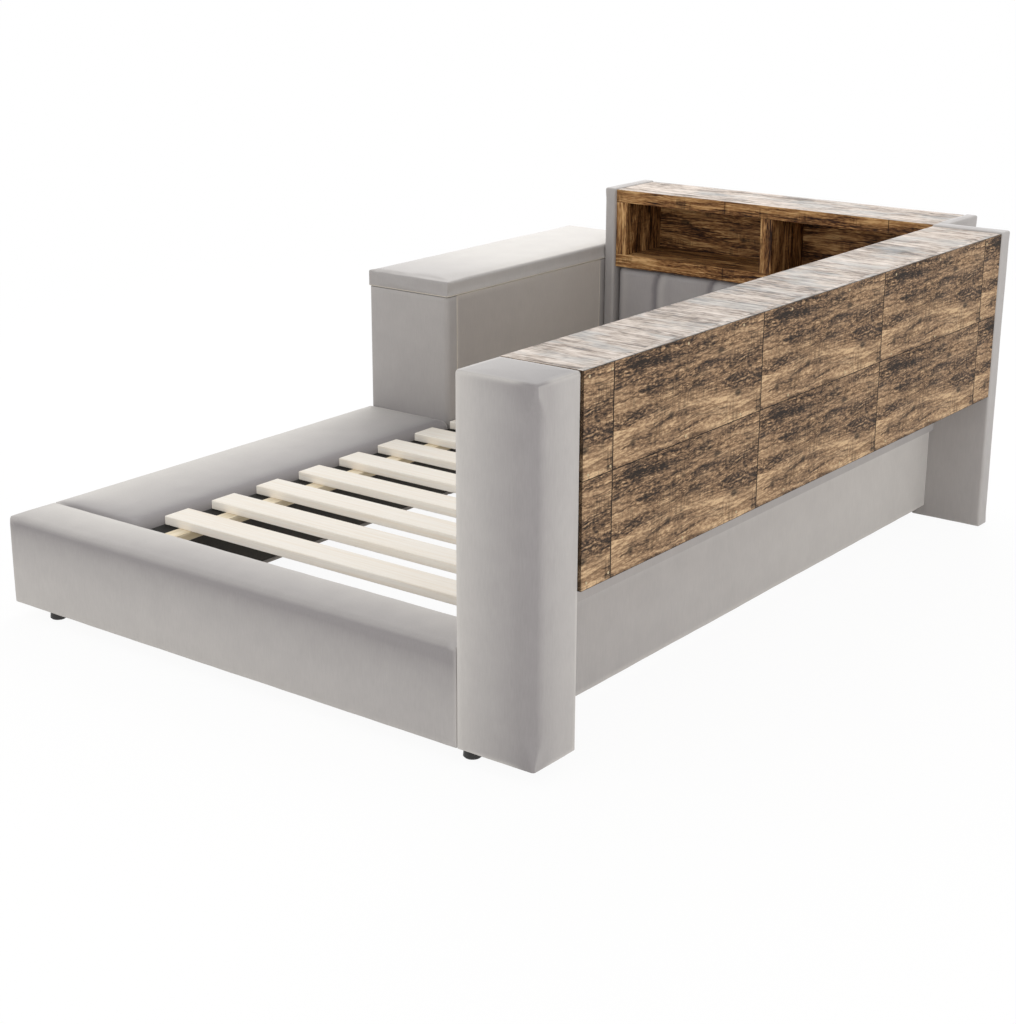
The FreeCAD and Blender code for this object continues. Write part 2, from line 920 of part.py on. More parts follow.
# Slats on two steel angles, held in line by a batten inside each angle
slat_length = "bay_width - lining_thickness - 2 * slat_end_gap"
slat_start = "left_rail_width + lining_thickness + slat_end_gap"
for index in range(int(number("slat_count"))):
    body = new_body(
        f"slat_{index + 1:02d}",
        slat_start,
        f"footboard_depth + first_slat_gap + slat_pitch * {index}",
        "slat_bottom",
    )
    section = outline(body, "YZ_Plane", box_corners("0", "0", "slat_width", "slat_thickness"))
    pad(body, section, slat_length)
    soften(
        body,
        "slat_edge",
        {"y": "0", "z": "0"},
        {"y": "slat_width", "z": "0"},
        {"y": "slat_width", "z": "slat_thickness"},
        {"y": "0", "z": "slat_thickness"},
    )
ledger_length = "wall_length - 2 * case_gap"
batten_shift = "ledger_flange + batten_gap"
battens = []
for side in ("left", "right"):
    if side == "left":
        ledger_x = "left_rail_width + lining_thickness"
        corners = [
            ("0", "0"),
            ("ledger_steel", "0"),
            ("ledger_steel", "ledger_web - ledger_steel"),
            ("ledger_flange", "ledger_web - ledger_steel"),
            ("ledger_flange", "ledger_web"),
            ("0", "ledger_web"),
        ]
        batten_x = f"{ledger_x} + {batten_shift}"
        hole_lift = None
    else:
        ledger_x = "bay_right - ledger_flange"
        corners = [
            ("ledger_flange - ledger_steel", "0"),
            ("ledger_flange", "0"),
            ("ledger_flange", "ledger_web"),
            ("0", "ledger_web"),
            ("0", "ledger_web - ledger_steel"),
            ("ledger_flange - ledger_steel", "ledger_web - ledger_steel"),
        ]
        batten_x = f"bay_right - ({batten_shift}) - batten_width"
        hole_lift = "ledger_flange - ledger_steel"
    body = new_body(
        f"{side}_ledger",
        ledger_x,
        "footboard_depth + case_gap",
        "slat_bottom - ledger_web",
    )
    pad(body, outline(body, "XZ_Plane", corners), ledger_length, True)
    hole_y = "ledger_hole_pitch / 4"
    hole_z = "(ledger_web - ledger_hole) / 2"
    hole = outline(
        body,
        "YZ_Plane",
        box_corners(hole_y, hole_z, f"{hole_y} + ledger_hole * 2", f"{hole_z} + ledger_hole"),
        None,
        hole_lift,
    )
    slot = pocket(body, hole, "ledger_steel", True)
    count = f"floor(({ledger_length}) / ledger_hole_pitch)"
    pattern(body, [slot], "Y_Axis", f"ledger_hole_pitch * ({count} - 1)", count)
    battens.append(
        board(
            f"{side}_batten",
            batten_x,
            "footboard_depth + case_gap",
            "slat_bottom - batten_height",
            "batten_width",
            ledger_length,
            "batten_height",
            alone=False,
        )
    )
together("slat_battens", battens)

# Storage trunk: four walls and a floor of board, in a padded cover that is open above
wall_x = "foam"
wall_y = "trunk_front + foam"
across = "left_rail_width - 2 * foam"
along_y = "trunk_length - 2 * foam"
side_size = ("carcass_board", along_y, "trunk_height")
bed_side_x = f"{wall_x} + {across} - carcass_board"
group(
    "trunk_side_boards",
    [
        ("outer", wall_x, wall_y, "glide_height") + side_size,
        ("bed_side", bed_side_x, wall_y, "glide_height") + side_size,
    ],
)
end_x = f"{wall_x} + carcass_board"
end_size = (f"{across} - 2 * carcass_board", "carcass_board", "trunk_height")
head_y = f"{wall_y} + {along_y} - carcass_board"
group(
    "trunk_end_boards",
    [
        ("foot", end_x, wall_y, "glide_height") + end_size,
        ("head", end_x, head_y, "glide_height") + end_size,
    ],
)
board(
    "trunk_floor_board",
    f"{wall_x} + carcass_board",
    f"{wall_y} + carcass_board",
    "glide_height",
    f"{across} - 2 * carcass_board",
    f"{along_y} - 2 * carcass_board",
    "trunk_floor_board",
)
cover = new_body("trunk_cover", "0", "trunk_front", "glide_height")
plan = box_corners("0", "0", "left_rail_width", "trunk_length")
pad(cover, outline(cover, "XY_Plane", plan), "trunk_height")
soften(
    cover,
    "trunk_corner",
    {"x": "0", "y": "0"},
    {"x": "left_rail_width", "y": "0"},
    {"x": "left_rail_width", "y": "trunk_length"},
    {"x": "0", "y": "trunk_length"},
)
inner = box_corners("foam", "foam", "left_rail_width - foam", "trunk_length - foam")
pocket(cover, outline(cover, "XY_Plane", inner), "trunk_height", True)
panel_near = "side_panel_inset"
panel_far = "head_end_front - trunk_front - side_panel_inset / 2"
panel_low = "slat_top - glide_height"
window = outline(
    cover,
    "YZ_Plane",
    box_corners(panel_near, panel_low, panel_far, "trunk_height"),
    None,
    "left_rail_width - foam",
)
pocket(cover, window, "foam", True)
board(
    "trunk_side_panel",
    "left_rail_width - foam",
    f"trunk_front + {panel_near} + side_panel_piping",
    f"glide_height + {panel_low}",
    "foam",
    f"{panel_far} - {panel_near} - 2 * side_panel_piping",
    f"trunk_height - ({panel_low})",
    [{"x": "foam", "y": "0"}],
)

# Lid: a board under a crowned cushion
cover = new_body("lid_cushion", "0", "trunk_front", "lid_bottom")
profile = outline(
    cover,
    "XZ_Plane",
    [
        ("0", "0"),
        ("left_rail_width", "0"),
        ("left_rail_width", "lid_thickness - crown"),
        ("0", "lid_thickness - crown"),
    ],
    {2: "crown"},
)
pad(cover, profile, "trunk_length", True)
soften(
    cover,
    "lid_edge",
    {"x": "0", "z": "lid_thickness - crown"},
    {"x": "left_rail_width", "z": "lid_thickness - crown"},
)
inner = box_corners("foam", "foam", "left_rail_width - foam", "trunk_length - foam")
pocket(cover, outline(cover, "XY_Plane", inner), "lid_board_thickness", True)
board(
    "lid_board",
    wall_x,
    wall_y,
    "lid_bottom",
    across,
    along_y,
    "lid_board_thickness",
)


def hinge_leaf(label, z, bottom, knuckle_shift, count):
    """One leaf of the piano hinge: a strip with knuckles round the pin, every other place."""
    body = new_body(label, "hinge_axis_x - barrel_radius", "hinge_start", z)
    strip_start = "barrel_diameter + barrel_gap"
    strip = box_corners(strip_start, "0", f"{strip_start} + hinge_leaf_width", "hinge_length")
    pad(body, outline(body, "XY_Plane", strip, None, bottom), "hinge_leaf_steel")
    doc.recompute()
    length = "knuckle_pitch - knuckle_gap"
    shift = f"{knuckle_shift} + knuckle_gap / 2"
    tab = box_corners(
        "barrel_radius",
        shift,
        f"{strip_start} + hinge_leaf_steel",
        f"{shift} + {length}",
    )
    tab_pad = pad(body, outline(body, "XY_Plane", tab, None, bottom), "hinge_leaf_steel")
    barrel = body.newObject("Sketcher::SketchObject", body.Name + "_barrel")
    barrel.AttachmentSupport = [(origin_plane(body, "XZ_Plane"), "")]
    barrel.MapMode = "FlatFace"
    barrel.setExpression("AttachmentOffset.Base.z", linked(f"0 - ({shift})"))
    radius = number("barrel_radius")
    centre = FreeCAD.Vector(radius, radius, 0)
    barrel.addGeometry(Part.Circle(centre, FreeCAD.Vector(0, 0, 1), radius))
    for kind, values, size in (
        ("Radius", (0,), "barrel_radius"),
        ("DistanceX", (-1, 1, 0, 3), "barrel_radius"),
        ("DistanceY", (-1, 1, 0, 3), "barrel_radius"),
    ):
        index = barrel.addConstraint(Sketcher.Constraint(kind, *values, number(size)))
        barrel.setExpression(f"Constraints[{index}]", linked(size))
    knuckle = pad(body, barrel, length, True)
    doc.recompute()
    pattern(
        body,
        [tab_pad, knuckle],
        "Y_Axis",
        f"knuckle_pitch * 2 * ({count} - 1)",
        count,
    )
    bore = body.newObject("Sketcher::SketchObject", body.Name + "_bore")
    bore.AttachmentSupport = [(origin_plane(body, "XZ_Plane"), "")]
    bore.MapMode = "FlatFace"
    bore.addGeometry(Part.Circle(centre, FreeCAD.Vector(0, 0, 1), radius / 2))
    for kind, values, size in (
        ("Radius", (0,), "pin_diameter / 2 + pin_clearance"),
        ("DistanceX", (-1, 1, 0, 3), "barrel_radius"),
        ("DistanceY", (-1, 1, 0, 3), "barrel_radius"),
    ):
        index = bore.addConstraint(Sketcher.Constraint(kind, *values, number(size)))
        bore.setExpression(f"Constraints[{index}]", linked(size))
    pocket(body, bore, "hinge_length")
    return body


# Piano hinge in the seam under the lid, its barrel outside the trunk's outer face
leaf_z = "hinge_axis_z - barrel_radius"
fixed_bottom = "barrel_radius - lid_seam / 2"
moving_bottom = "barrel_radius + lid_seam / 2 - hinge_leaf_steel"
hinge_leaf("hinge_fixed_leaf", leaf_z, fixed_bottom, "0", "knuckle_pairs + 1")
hinge_leaf("hinge_moving_leaf", leaf_z, moving_bottom, "knuckle_pitch", "knuckle_pairs")
pin = doc.addObject("Part::Cylinder", "hinge_pin")
pin.Label = "hinge_pin"
pin.setExpression("Radius", linked("pin_diameter / 2"))
pin.setExpression("Height", linked("hinge_length"))
place(pin, "hinge_axis_x", "hinge_start", "hinge_axis_z")
pin.Placement.Rotation = FreeCAD.Rotation(FreeCAD.Vector(1, 0, 0), -90)
nodes.append(pin)

# Floor glides under the low frame, and thin discs under the panels that stand on the floor
doc.recompute()


def moulded_round(x, y, rings):
    """A round plastic piece of flat sides, from rings given as a radius and a height each."""
    wires = []
    for radius, level in rings:
        start = FreeCAD.Vector(number(radius), 0, number(level))
        points = []
        for index in range(GLIDE_SIDES + 1):
            turn = FreeCAD.Rotation(FreeCAD.Vector(0, 0, 1), 360 / GLIDE_SIDES * index)
            points.append(turn.multVec(start))
        wires.append(Part.makePolygon(points))
    solid = Part.makeLoft(wires, True, True)
    solid.translate(FreeCAD.Vector(number(x), number(y), 0))
    return solid


def glide(x, y):
    """A moulded foot: tapered, with a bevelled rim where it meets the floor."""
    return moulded_round(
        x,
        y,
        [
            ("glide_diameter / 2 - glide_rim", "0"),
            ("glide_diameter / 2", "glide_rim"),
            ("glide_top_diameter / 2", "glide_height"),
        ],
    )


def disc(x, y):
    """A thin stop under a panel that stands on the floor."""
    return moulded_round(x, y, [("disc_diameter / 2", "0"), ("disc_diameter / 2", "panel_floor_gap")])


glide_places = [
    ("glide_inset", "glide_front_inset"),
    ("bay_right + ledger_steel", "glide_front_inset"),
    ("bay_right + post_width / 2", "footboard_depth - glide_diameter"),
]
for share in LEFT_GLIDE_SHARES:
    for x in ("glide_inset", "left_rail_width - glide_inset"):
        glide_places.append((x, f"footboard_depth + left_rail_length * {share}"))
for x in ("glide_inset", "left_rail_width - glide_inset"):
    glide_places.append((x, "trunk_front + glide_inset"))
    glide_places.append((x, "back_face - glide_inset"))
disc_places = []
wall_end_middle = "wall_far + wall_end_thickness / 2"
disc_places.append(("wall_front + disc_inset", wall_end_middle))
disc_places.append(("right_face - disc_inset", wall_end_middle))
left_end_middle = "left_rail_width + case_gap + headboard_end_thickness / 2"
disc_places.append((left_end_middle, "head_end_front + disc_inset"))
disc_places.append((left_end_middle, "back_face - disc_inset"))
disc_places.append(("head_right + headboard_end_thickness / 2", "back_face - disc_inset"))
feet = doc.addObject("Part::Feature", "floor_glides")
feet.Label = "floor_glides"
feet.Shape = Part.makeCompound(
    [glide(x, y) for x, y in glide_places] + [disc(x, y) for x, y in disc_places]
)
feet.Placement = FreeCAD.Placement(
    FreeCAD.Vector(number("shift_x"), number("shift_y"), 0), FreeCAD.Rotation()
)
nodes.append(feet)

doc.recompute()
faulty = [item.Label for item in doc.Objects if "Invalid" in item.State or "Error" in item.State]
for node in nodes:
    if node.Shape.isNull() or not node.Shape.isValid():
        faulty.append(node.Label)
if faulty:
    raise RuntimeError("not built: " + ", ".join(faulty))
os.makedirs("parts", exist_ok=True)
for node in nodes:
    node.Shape.exportStep(f"parts/{node.Label}.step")
print(len(nodes), "nodes")
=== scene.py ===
import math

import bpy
import numpy as np
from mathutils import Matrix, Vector


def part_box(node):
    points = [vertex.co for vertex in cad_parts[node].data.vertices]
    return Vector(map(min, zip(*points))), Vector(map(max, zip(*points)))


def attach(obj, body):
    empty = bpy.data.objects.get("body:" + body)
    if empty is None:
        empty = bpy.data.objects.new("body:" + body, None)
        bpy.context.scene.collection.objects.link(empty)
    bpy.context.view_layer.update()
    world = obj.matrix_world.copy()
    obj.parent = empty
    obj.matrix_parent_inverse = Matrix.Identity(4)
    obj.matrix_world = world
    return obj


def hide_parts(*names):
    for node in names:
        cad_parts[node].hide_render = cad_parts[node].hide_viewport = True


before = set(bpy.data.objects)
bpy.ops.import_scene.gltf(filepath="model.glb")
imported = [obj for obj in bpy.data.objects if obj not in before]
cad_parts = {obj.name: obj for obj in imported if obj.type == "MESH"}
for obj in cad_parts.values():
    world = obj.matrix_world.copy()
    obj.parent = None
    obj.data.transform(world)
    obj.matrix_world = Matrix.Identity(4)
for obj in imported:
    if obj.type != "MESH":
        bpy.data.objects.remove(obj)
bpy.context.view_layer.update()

# Footboard
# A low board box across the foot of the bed, wrapped in thin foam and microfibre velvet that is
# pulled over the edges and stapled underneath. Its front top edge is a broad soft roll, which
# narrows to a folded corner at each end.

MM = 0.001


def colour(code):
    """A colour written as sRGB hex, turned to the linear values that a shader works in."""
    parts = [int(code[place:place + 2], 16) / 255 for place in (1, 3, 5)]
    return [part / 12.92 if part <= 0.04045 else ((part + 0.055) / 1.055) ** 2.4
            for part in parts] + [1]


def add(tree, kind, inputs=None, stops=(), **settings):
    """Adds one shader node: its settings, each input as a value, a hex colour, a socket or a
    node, whose first output in use is taken, and a ramp's stops as a place and a colour each,
    in rising order.
    """
    node = tree.nodes.new("ShaderNode" + kind)
    for key, value in settings.items():
        setattr(node, key, value)
    for count, (position, code) in enumerate(stops):
        ramp = node.color_ramp.elements
        stop = ramp[count] if count < 2 else ramp.new(position)
        stop.position, stop.color = position, colour(code)
    for name, source in (inputs or {}).items():
        if isinstance(source, bpy.types.Node):
            source = next(socket for socket in source.outputs if socket.enabled)
        if isinstance(source, bpy.types.NodeSocket):
            tree.links.new(source, node.inputs[name])
        else:
            value = colour(source) if isinstance(source, str) else source
            node.inputs[name].default_value = value
    return node


def new_material(name):
    """A new material, its tree, and the output of its one node, each point's place in metres."""
    material = bpy.data.materials.new(name)
    material.use_nodes = True
    tree = material.node_tree
    tree.nodes.clear()
    return material, tree, add(tree, "TexCoord").outputs["Object"]


def surfaced(material, inputs):
    """Ends a material with the shader of its surface, and returns it."""
    tree = material.node_tree
    add(tree, "OutputMaterial", {"Surface": add(tree, "BsdfPrincipled", inputs)})
    return material


def velvet(name, shaded_tone, level, lit_tone):
    """Microfibre velvet, a short dense nap on a knitted back: matt, with a soft light rim.

    A number kept on each point paints light and shade into the colour: at -1 it gives the
    painted shade colour, dark and cool, and at 1 the painted light colour, pale. Hands leave faint
    patches about 60 mm wide. Along the edges, marked by the attribute "edge", the pale colour is
    mixed in as a painted highlight. The knit's ribs, 1 mm apart, are drawn 2.5 mm apart, and the
    nap, 0.2 mm, 1.2 mm coarse, so that they show.
    """
    material, tree, place = new_material("microfibre velvet, " + name)
    patches = add(tree, "TexNoise", {
        "Vector": place, "Scale": 1 / (60 * MM), "Detail": 3, "Roughness": 0.55})
    hand = add(tree, "MapRange", {
        "Value": patches, "From Min": 0.3, "From Max": 0.7, "To Min": 0.465, "To Max": 0.535})
    # Painted light and shade, kept on each point.
    shading_mark = add(tree, "Attribute", attribute_name="painted_shading").outputs["Fac"]
    shading_share = add(tree, "Math", {0: shading_mark, 1: 0.5, 2: hand}, operation="MULTIPLY_ADD")
    shade = add(tree, "ValToRGB", {"Fac": shading_share}, ((0, shaded_tone), (0.5, level), (1, lit_tone)))
    # Painted highlight along the edges, in the pale colour.
    edge = add(tree, "Attribute", attribute_name="edge").outputs["Fac"]
    wear_and_highlight = add(tree, "Math", {0: edge, 1: 0.7}, operation="MULTIPLY")
    highlighted = add(tree, "Mix", {"Factor": wear_and_highlight, "A": shade, "B": lit_tone}, data_type="RGBA")
    threads = add(tree, "Mapping", {
        "Vector": place, "Scale": (1 / (2.5 * MM), 1 / (2.5 * MM), 1 / (26 * MM))})
    warp = add(tree, "TexNoise", {"Vector": threads, "Scale": 1, "Detail": 2})
    knit = add(tree, "MapRange", {
        "Value": warp, "From Min": 0.3, "From Max": 0.7, "To Min": 0.97, "To Max": 1.03})
    cloth = add(tree, "VectorMath", {"Vector": highlighted, "Scale": knit}, operation="SCALE")
    tufts = add(tree, "TexNoise", {"Vector": place, "Scale": 1 / (1.2 * MM), "Detail": 2})
    bump = add(tree, "Bump", {"Height": tufts, "Strength": 0.25, "Distance": 0.4 * MM})
    return surfaced(material, {
        "Base Color": cloth, "Normal": bump, "Roughness": 0.9, "Specular IOR Level": 0.2,
        "Sheen Weight": 0.45, "Sheen Roughness": 0.3})


# Three greys: painted shade, the velvet's own colour, and painted light, which is also the painted
# edge highlight.
light_velvet = velvet("light grey", "#8E8A8A", "#ABA7A5", "#C9C5C0")

AXES = {"x": (1, 2, 0), "y": (2, 0, 1), "z": (0, 1, 2)}
QUARTER = np.linspace(0, np.pi / 2, 8)
FOLD_STEP = 4 * MM
LENGTH_STEP = 20 * MM
SIDE_STEP = 12 * MM
BOW_RUN_OUT = 70 * MM
EDGE_REACH = 6 * MM
WAVES = 7
WAVE_LENGTH = 300 * MM


def smooth(share):
    """0 below 0, 1 above 1, and an even S curve between."""
    share = np.clip(share, 0, 1)
    return share * share * (3 - 2 * share)


def stations(start, end, rolls, folding):
    """Places along a padded piece, and how far its outline is drawn in at each.

    Over the last roll at each end the outline follows a quarter circle: at angle a it stands
    roll * (1 - cos a) from the end and is drawn in by roll * (1 - sin a). Next to that come
    fine steps for the folded corner, and then even ones.
    """
    near = [roll * (1 - np.cos(QUARTER)) for roll in rolls]
    drawn = [roll * (1 - np.sin(QUARTER)) for roll in rolls]
    fold = [np.arange(roll + FOLD_STEP, roll + folding + 2 * FOLD_STEP, FOLD_STEP)
            for roll in rolls]
    first, last = [np.concatenate(pair) for pair in zip(near, fold)]
    count = max(2, int((end - start - first[-1] - last[-1]) / LENGTH_STEP))
    middle = np.linspace(start + first[-1], end - last[-1], count + 1)[1:-1]
    along = np.concatenate([start + first, middle, (end - last)[::-1]])
    flat = np.zeros(len(along) - 2 * len(QUARTER))
    return along, np.concatenate([drawn[0], flat, drawn[1][::-1]])


def outlines(low, high, radii, bows, drawn, steps):
    """Closed outlines, one for each station: a rectangle with round corners and bowed sides.

    Side k runs from corner k to corner k + 1 and stands out by bow * (1 - |2t - 1| ** 3). Corner
    k is a quarter circle. radii, bows and drawn, which moves each side in, are stations x 4.
    """
    u0, v0 = low[0] + drawn[:, 3], low[1] + drawn[:, 0]
    u1, v1 = high[0] - drawn[:, 1], high[1] - drawn[:, 2]
    corners = [np.stack(pair, -1) for pair in ((u0, v0), (u1, v0), (u1, v1), (u0, v1))]
    inward = np.array([(1, 1), (-1, 1), (-1, -1), (1, -1)])
    normals = np.array([(0, -1), (1, 0), (0, 1), (-1, 0)])
    parts = []
    for corner in range(4):
        radius = radii[:, corner, None, None]
        centre = corners[corner][:, None] + inward[corner] * radius
        turn = np.pi * (1 + corner / 2) + QUARTER
        arc = centre + radius * np.stack([np.cos(turn), np.sin(turn)], -1)
        following = (corner + 1) % 4
        next_radius = radii[:, following, None, None]
        next_centre = corners[following][:, None] + inward[following] * next_radius
        next_start = next_centre + next_radius * normals[corner]
        share = np.linspace(0, 1, steps[corner % 2] + 1)[1:-1, None]
        run = arc[:, -1:] * (1 - share) + next_start * share
        bow = bows[:, corner, None, None] * (1 - np.abs(2 * share - 1) ** 3)
        parts += [arc, run + bow * normals[corner]]
    return np.concatenate(parts, 1)


def bands(count, around, closed):
    """The faces between each of count rings of points and the next. The last ring joins the
    first one if closed is true.
    """
    ring, spot = np.meshgrid(np.arange(count if closed else count - 1), np.arange(around),
                             indexing="ij")
    above, ahead = (ring + 1) % count, (spot + 1) % around
    quads = np.stack([ring * around + spot, ring * around + ahead,
                      above * around + ahead, above * around + spot], -1)
    return quads.reshape(-1, 4).tolist()


def new_piece(name, points, faces):
    """A mesh object with smooth shading, in the scene, unturned and unscaled at the origin."""
    mesh = bpy.data.meshes.new(name)
    mesh.from_pydata(points, [], faces)
    mesh.shade_smooth()
    piece = bpy.data.objects.new(name, mesh)
    bpy.context.scene.collection.objects.link(piece)
    return piece


def read(piece):
    """A piece's points and their normals, as arrays."""
    mesh = piece.data
    points = np.zeros(len(mesh.vertices) * 3)
    normals = np.zeros(len(mesh.vertices) * 3)
    mesh.vertices.foreach_get("co", points)
    mesh.vertex_normals.foreach_get("vector", normals)
    return points.reshape(-1, 3), normals.reshape(-1, 3)


def write(piece, points):
    """Gives a piece's points new places."""
    piece.data.vertices.foreach_set("co", points.astype(np.float32).ravel())
    piece.data.update()


def keep(piece, name, values):
    """Stores one number on each point of a piece, for its material to read."""
    mark = piece.data.attributes.new(name, "FLOAT", "POINT")
    mark.data.foreach_set("value", np.asarray(values, np.float32))


def mark_edges(piece, low, high):
    """Keeps, on each point, how near it is to an edge of the box: 1 on it, fading over the reach.

    The second smallest of the three distances to the box's faces is the distance to an edge.
    """
    points = read(piece)[0]
    sides = np.minimum(points - np.array(low), np.array(high) - points)
    gap = np.sort(np.maximum(sides, 0), 1)[:, 1]
    keep(piece, "edge", np.exp(-(gap / EDGE_REACH) ** 2))


def fade_edges(piece, share):
    """Takes the painted edge highlight back to share of it."""
    mark = piece.data.attributes["edge"].data
    values = np.zeros(len(mark))
    mark.foreach_get("value", values)
    mark.foreach_set("value", (values * share).astype(np.float32))


def ripple(piece, height):
    """Moves points along their normals by a sum of long waves, as hand-stretched cloth lies."""
    points, normals = read(piece)
    random = np.random.default_rng(3)
    waves = random.normal(size=(WAVES, 3)) * 2 * np.pi / WAVE_LENGTH
    shift = np.sin(points @ waves.T + random.uniform(0, 6.28, WAVES)).sum(1) / WAVES ** 0.5
    write(piece, points + normals * (shift * height)[:, None])


def padded_box(name, low, high, axis, radii, rolls, folded, bows=(0, 0, 0, 0),
               folding=32 * MM, dome=2 * MM, drawn_sides=(1, 1, 1, 1), waver=0.3 * MM):
    """A board box in foam and cloth: outlines carried along an axis, with domed ends.

    low and high are the box's corners. The outline's four corners come in the order low-low,
    high-low, high-high, low-high of the two axes across, and its sides start at the same corner.
    rolls are the rounding of the first and of the last end, as far as drawn_sides lets each side
    follow it. Over the folding length at each end the radii narrow to folded, where the cloth
    is folded into the corner, and over the run-out the bows fade. The ends are filled by outlines
    that shrink to a middle point. Long waves as high as waver go over the whole.
    """
    u, v, a = AXES[axis]
    along, drawn = stations(low[a], high[a], rolls, folding)
    radii = np.tile(np.array(radii, float), (len(along), 1))
    reach = np.minimum(along - low[a] - rolls[0], high[a] - rolls[1] - along)
    tight = np.minimum(radii, folded)
    radii = tight + (radii - tight) * smooth(reach / folding)[:, None]
    bows = np.array(bows) * (0.12 + 0.88 * smooth(reach / BOW_RUN_OUT))[:, None]
    radii = np.maximum(radii - drawn[:, None] * 0.5, 0.6 * MM)
    counts = [max(6, int((high[side] - low[side]) / SIDE_STEP)) for side in (u, v)]
    flat = outlines((low[u], low[v]), (high[u], high[v]), radii, bows,
                    drawn[:, None] * np.array(drawn_sides), counts)
    rings = np.zeros(flat.shape[:2] + (3,))
    rings[..., u], rings[..., v] = flat[..., 0], flat[..., 1]
    rings[..., a] = along[:, None]
    shrink = np.linspace(0, 1, 9)[1:-1]
    caps, middles = [], []
    for end, sign in ((rings[0], -1), (rings[-1], 1)):
        middle = end.mean(0)
        cap = end + (middle - end) * shrink[:, None, None]
        cap[..., a] += sign * dome * np.sin(np.pi / 2 * shrink)[:, None]
        middle[a] += sign * dome
        caps.append(cap)
        middles.append(middle)
    rings = np.concatenate([caps[0][::-1], rings, caps[1]])
    count, around = rings.shape[:2]
    last, after = (count - 1) * around, count * around
    spots = [(spot, (spot + 1) % around) for spot in range(around)]
    faces = bands(count, around, False) + [(after, ahead, spot) for spot, ahead in spots]
    faces += [(after + 1, last + spot, last + ahead) for spot, ahead in spots]
    piece = new_piece(name, np.concatenate([rings.reshape(-1, 3), middles]), faces)
    mark_edges(piece, low, high)
    ripple(piece, waver)
    return piece


def painted_roll_shading(down, height):
    """Painted shade and light on an upright face: painted shade just under the roll, at down = 0,
    and painted light growing towards the foot. An exponential over 34 mm, and a straight line over
    the height.
    """
    below = np.maximum(down, 0)
    above = np.exp(-(np.minimum(down, 0) / (9 * MM)) ** 2)
    return above * (0.55 * below / height - 1.05 * np.exp(-below / (34 * MM)))


def crease(piece, start, end, width, depth):
    """Presses a tapering groove into the cloth along a line: a bell curve across the line."""
    points, normals = read(piece)
    start, run = np.array(start), np.array(end) - np.array(start)
    share = np.clip((points - start) @ run / (run @ run), 0, 1)
    gap = np.linalg.norm(points - start - share[:, None] * run, axis=1)
    press = depth * np.exp(-(gap / width) ** 2) * (1 - share * 0.8)
    write(piece, points - normals * press[:, None])


def dress(piece, material, body, replaced):
    """Gives a padded piece its cloth, its body, and the solids that it stands for."""
    piece.data.materials.append(material)
    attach(piece, body)
    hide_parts(*replaced)


CROWN = 4 * MM
BULGE = 3 * MM
ROLL = 28 * MM
FIRM = 4 * MM
ROLL_FOOT = 17 * MM

low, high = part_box("footboard_cover")
footboard = padded_box(
    "footboard_padding", (low.x, low.y + BULGE, low.z), (high.x, high.y, high.z - CROWN), "x",
    radii=(3 * MM, 3 * MM, FIRM, ROLL), bows=(0, 0, CROWN, BULGE), rolls=(4 * MM, 4 * MM),
    folded=6 * MM)
for end, inward, reach, drop in ((low.x, 1, 26 * MM, 34 * MM), (high.x, -1, 30 * MM, 30 * MM)):
    crease(footboard, (end + inward * 2 * MM, low.y + 4 * MM, high.z - 8 * MM),
           (end + inward * reach, low.y + 4 * MM, high.z - drop), width=4 * MM, depth=1.2 * MM)
fade_edges(footboard, 0.4)
# Painted light and shade: painted shade under the front roll, lighter towards the foot; the top
# lighter towards the back and in painted shade towards the post; the front darker towards the
# post.
points, normals = read(footboard)
along = (points[:, 0] - low.x) / (high.x - low.x)
back = (points[:, 1] - low.y) / (high.y - low.y)
upward = smooth(normals[:, 2] * 2 - 1)
under_roll = high.z - CROWN - ROLL_FOOT - points[:, 2]
front = smooth((0.9 - normals[:, 2]) * 3) * painted_roll_shading(under_roll, high.z - low.z)
keep(footboard, "painted_shading", front + upward * (back + 0.1 - 0.45 * smooth((along - 0.1) / 0.35))
     - (1 - upward) * 0.45 * along ** 2)
dress(footboard, light_velvet, "frame", ["footboard_cover"])


# Left rail
# A wide low deck of the same make. Its bed side and its end at the footboard are broad rolls,
# which meet in a mitred crease, and its outer edge is firm. The side that faces the slats is
# covered below them with black non-woven lining.

RAIL_ROLL = 35 * MM
END_ROLL = 24 * MM


def roll_end(piece, start, floor, top, radius, edge):
    """Rounds the top down towards the end at y = start, as a quarter circle of the radius.

    Each point sinks by radius - sqrt(radius ** 2 - (radius - d) ** 2) at d from the end, in
    proportion to its height above the floor of the piece. Next to the outer edge the cloth is
    folded, so there the drop fades out over 45 mm.
    """
    points = read(piece)[0]
    gap = np.clip(points[:, 1] - start, 0, radius)
    drop = radius - np.sqrt(radius ** 2 - (radius - gap) ** 2)
    drop *= smooth((points[:, 0] - edge - 4 * MM) / (45 * MM))
    points[:, 2] -= drop * (points[:, 2] - floor) / (top - floor)
    write(piece, points)


low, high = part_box("left_rail_cover")
left_rail = padded_box(
    "left_rail_padding", low, (high.x, high.y, high.z - CROWN), "y",
    radii=(3 * MM, FIRM, RAIL_ROLL, 3 * MM), bows=(0, CROWN, 0, 0), rolls=(3 * MM, 4 * MM),
    folded=22 * MM)
roll_end(left_rail, low.y, low.z, high.z, END_ROLL, low.x)
